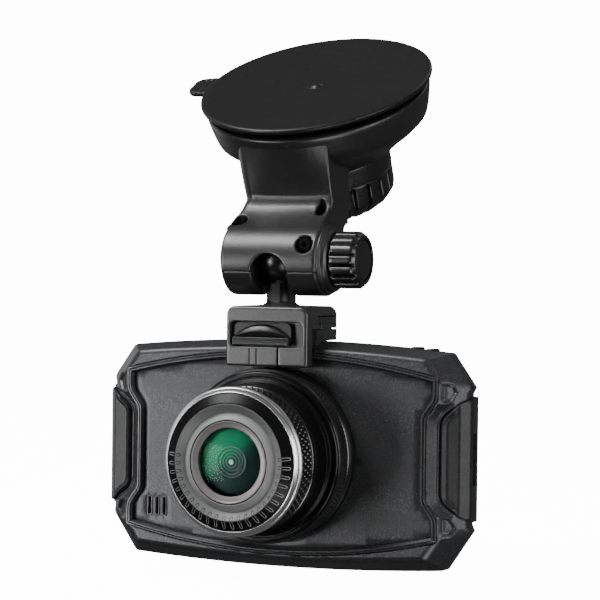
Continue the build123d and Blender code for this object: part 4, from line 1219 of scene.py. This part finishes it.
# The lenses within: a shallow dome with four fine ridges, and a raised middle.
RIDGES = [
    (8.2, 0.0), (7.2, 0.0), (6.0, 0.0), (4.9, 0.0), (4.3, 0.0), (3.95, 0.03), (3.8, 0.12), (3.65, 0.03),
    (3.2, 0.0), (2.95, 0.03), (2.8, 0.1), (2.65, 0.03), (2.3, 0.0), (2.05, 0.03), (1.95, 0.1), (1.8, 0.03),
    (1.5, 0.0), (1.25, 0.08), (1.1, 0.03), (0.8, 0.04), (0.6, 0.1), (0.3, 0.16), (0.0001, 0.18),
]
DEPTH_PROFILE = [(radius, 25.5 + 0.9 * (1 - (radius / 8.7) ** 2) + ridge) for radius, ridge in RIDGES]
DEPTH_PROFILE = [(8.65, 25.4), *DEPTH_PROFILE, (0.0001, 24.9), (8.65, 24.9)]
# Its material paints the lights' reflections: a green sheen, light rings and a glint.
lens_piece("glass_depths", DEPTH_PROFILE, "inner_glass", material="lens_depths_painted_reflections", crease=60)

# ---------------------------------------------------------------- smaller parts that keep their CAD shape

softened("screen_glass", "display_window", "camera", "screen_cover", 0.3)
for key in ("up", "ok", "down", "menu", "mode", "power", "event"):
    softened(f"{key}_cap", f"{key}_button", f"{key}_key", "key_plastic", 0.12)
softened("card_body", "memory_card", "card", "card_plastic", 0.15)
softened("power_socket", "usb_inlet", "camera", "socket_metal", 0.08)

KEPT = {
    "seat_plastic": ("cup_stud",),
    "screw_steel": ("clamp_screw", "speaker", "case_screws"),
    "ball_plastic": ("pressure_plate", "ball_seat_right", "ball_seat_left"),
    "slider_plastic": ("latch_pawl",),
    # The inner lenses and filter take the same painted reflections.
    "lens_depths_painted_reflections": ("inner_lenses", "ir_filter"),
    "tube_metal": ("lens_tube", "lens_holder"),
    "screen_cover": ("image_sensor",),
    "board_green": ("sensor_board", "main_board"),
    "battery_foil": ("battery",),
    "socket_metal": ("microphone", "card_socket"),
    "lcd": ("lcd_panel",),
}
for material, nodes in KEPT.items():
    for node in nodes:
        mesh = frame["nodes"][node].data
        mesh.materials.clear()
        mesh.materials.append(MATERIALS[material])

# ---------------------------------------------------------------- stage, light and camera


PAPER_GLOW = 14.0  # brightness of the paper behind the object


def studio_floor():
    """Bright floor that curves up behind the object, square to the view."""
    s = Surface("studio_paper")
    tone = s.mix(s.noise(3.0, 1.0), (0.93, 0.93, 0.93), (0.95, 0.95, 0.95))
    s.feed(s.shader, {"Base Color": tone, "Roughness": 0.7, "Specular IOR Level": 0.1})
    s.feed(s.shader, {"Emission Color": (1.0, 1.0, 1.0), "Emission Strength": PAPER_GLOW})
    level = cad_low[2] - 0.004
    forward = Vector((-0.40, 0.916, 0)).normalized()
    side = Vector((forward.y, -forward.x, 0))
    profile = [(-2.5, 0.0), (0.9, 0.0)]
    profile += [(0.9 + 0.8 * sin(t), 0.8 - 0.8 * cos(t)) for t in np.linspace(0.05, pi / 2, 24)]
    profile += [(1.7, 3.0)]
    points = []
    for reach, height in profile:
        for across in (-3.0, 3.0):
            points.append(forward * reach + side * across + Vector((0, 0, level + height)))
    faces = [(row, row + 1, row + 3, row + 2) for row in range(0, 2 * len(profile) - 2, 2)]
    mesh = bpy.data.meshes.new("studio_floor")
    mesh.from_pydata(points, [], faces)
    for face in mesh.polygons:
        face.use_smooth = True
    floor = linked("studio_floor", mesh)
    mesh.materials.append(MATERIALS["studio_paper"])
    # The bright paper shows behind the object without washing out its dark, glossy surfaces.
    floor.visible_glossy = False
    floor.visible_diffuse = False
    floor.visible_transmission = False


studio_floor()

# Softboxes in metres and watts, all aimed at the object's middle.
AIM = Vector((0.0, -0.02, -0.06))
for name, place, size, power in (
    ("key_left", (-0.56, -0.72, -0.18), (0.26, 0.42), 4.3),
    ("top_front", (-0.42, -0.38, 0.64), (0.4, 0.34), 7.4),
    ("side_right", (0.75, -0.3, 0.0), (0.3, 0.6), 2.9),
    ("rim_left", (-0.8, 0.38, 0.05), (0.4, 0.6), 0.8),
    ("low_right", (0.4, -0.55, -0.55), (0.4, 0.3), 2.4),
    ("top_back", (0.2, 0.45, 0.6), (0.6, 0.3), 0.5),
):
    light = bpy.data.lights.new(name, "AREA")
    light.shape = "RECTANGLE"
    light.size, light.size_y = size
    light.energy = power
    softbox = linked(name, light)
    softbox.location = place
    softbox.rotation_euler = (AIM - Vector(place)).to_track_quat("-Z", "Y").to_euler()

world = bpy.data.worlds.new("studio_air")
bpy.context.scene.world = world
world.use_nodes = True
air, air_links = world.node_tree.nodes, world.node_tree.links
air["Background"].inputs["Color"].default_value = (1, 1, 1, 1)
# Beyond the floor's edges the air looks as bright as the paper, but lights the object only faintly.
seen = air.new("ShaderNodeMath")
seen.operation = "MULTIPLY_ADD"
air_links.new(air.new("ShaderNodeLightPath").outputs["Is Camera Ray"], seen.inputs[0])
seen.inputs[1].default_value, seen.inputs[2].default_value = PAPER_GLOW, 0.09
air_links.new(seen.outputs[0], air["Background"].inputs["Strength"])

# The camera's place and axes, worked out from the circles of the lens and the case's corners.
CAMERA_PLACE = (0.25466, -0.59195, -0.04417)
CAMERA_RIGHT = (0.916264, 0.400403, 0.011865)
CAMERA_UP = (-0.019745, 0.015561, 0.999684)
CAMERA_BACK = (0.40009, -0.91620, 0.022164)
view = bpy.data.cameras.new("view_camera")
view.lens = 144.0
view.sensor_width = 36.0
view.clip_start = 0.01
camera = linked("view_camera", view)
axes = zip(CAMERA_RIGHT, CAMERA_UP, CAMERA_BACK, CAMERA_PLACE)
camera.matrix_world = Matrix([*axes, (0, 0, 0, 1)])
bpy.context.scene.camera = camera
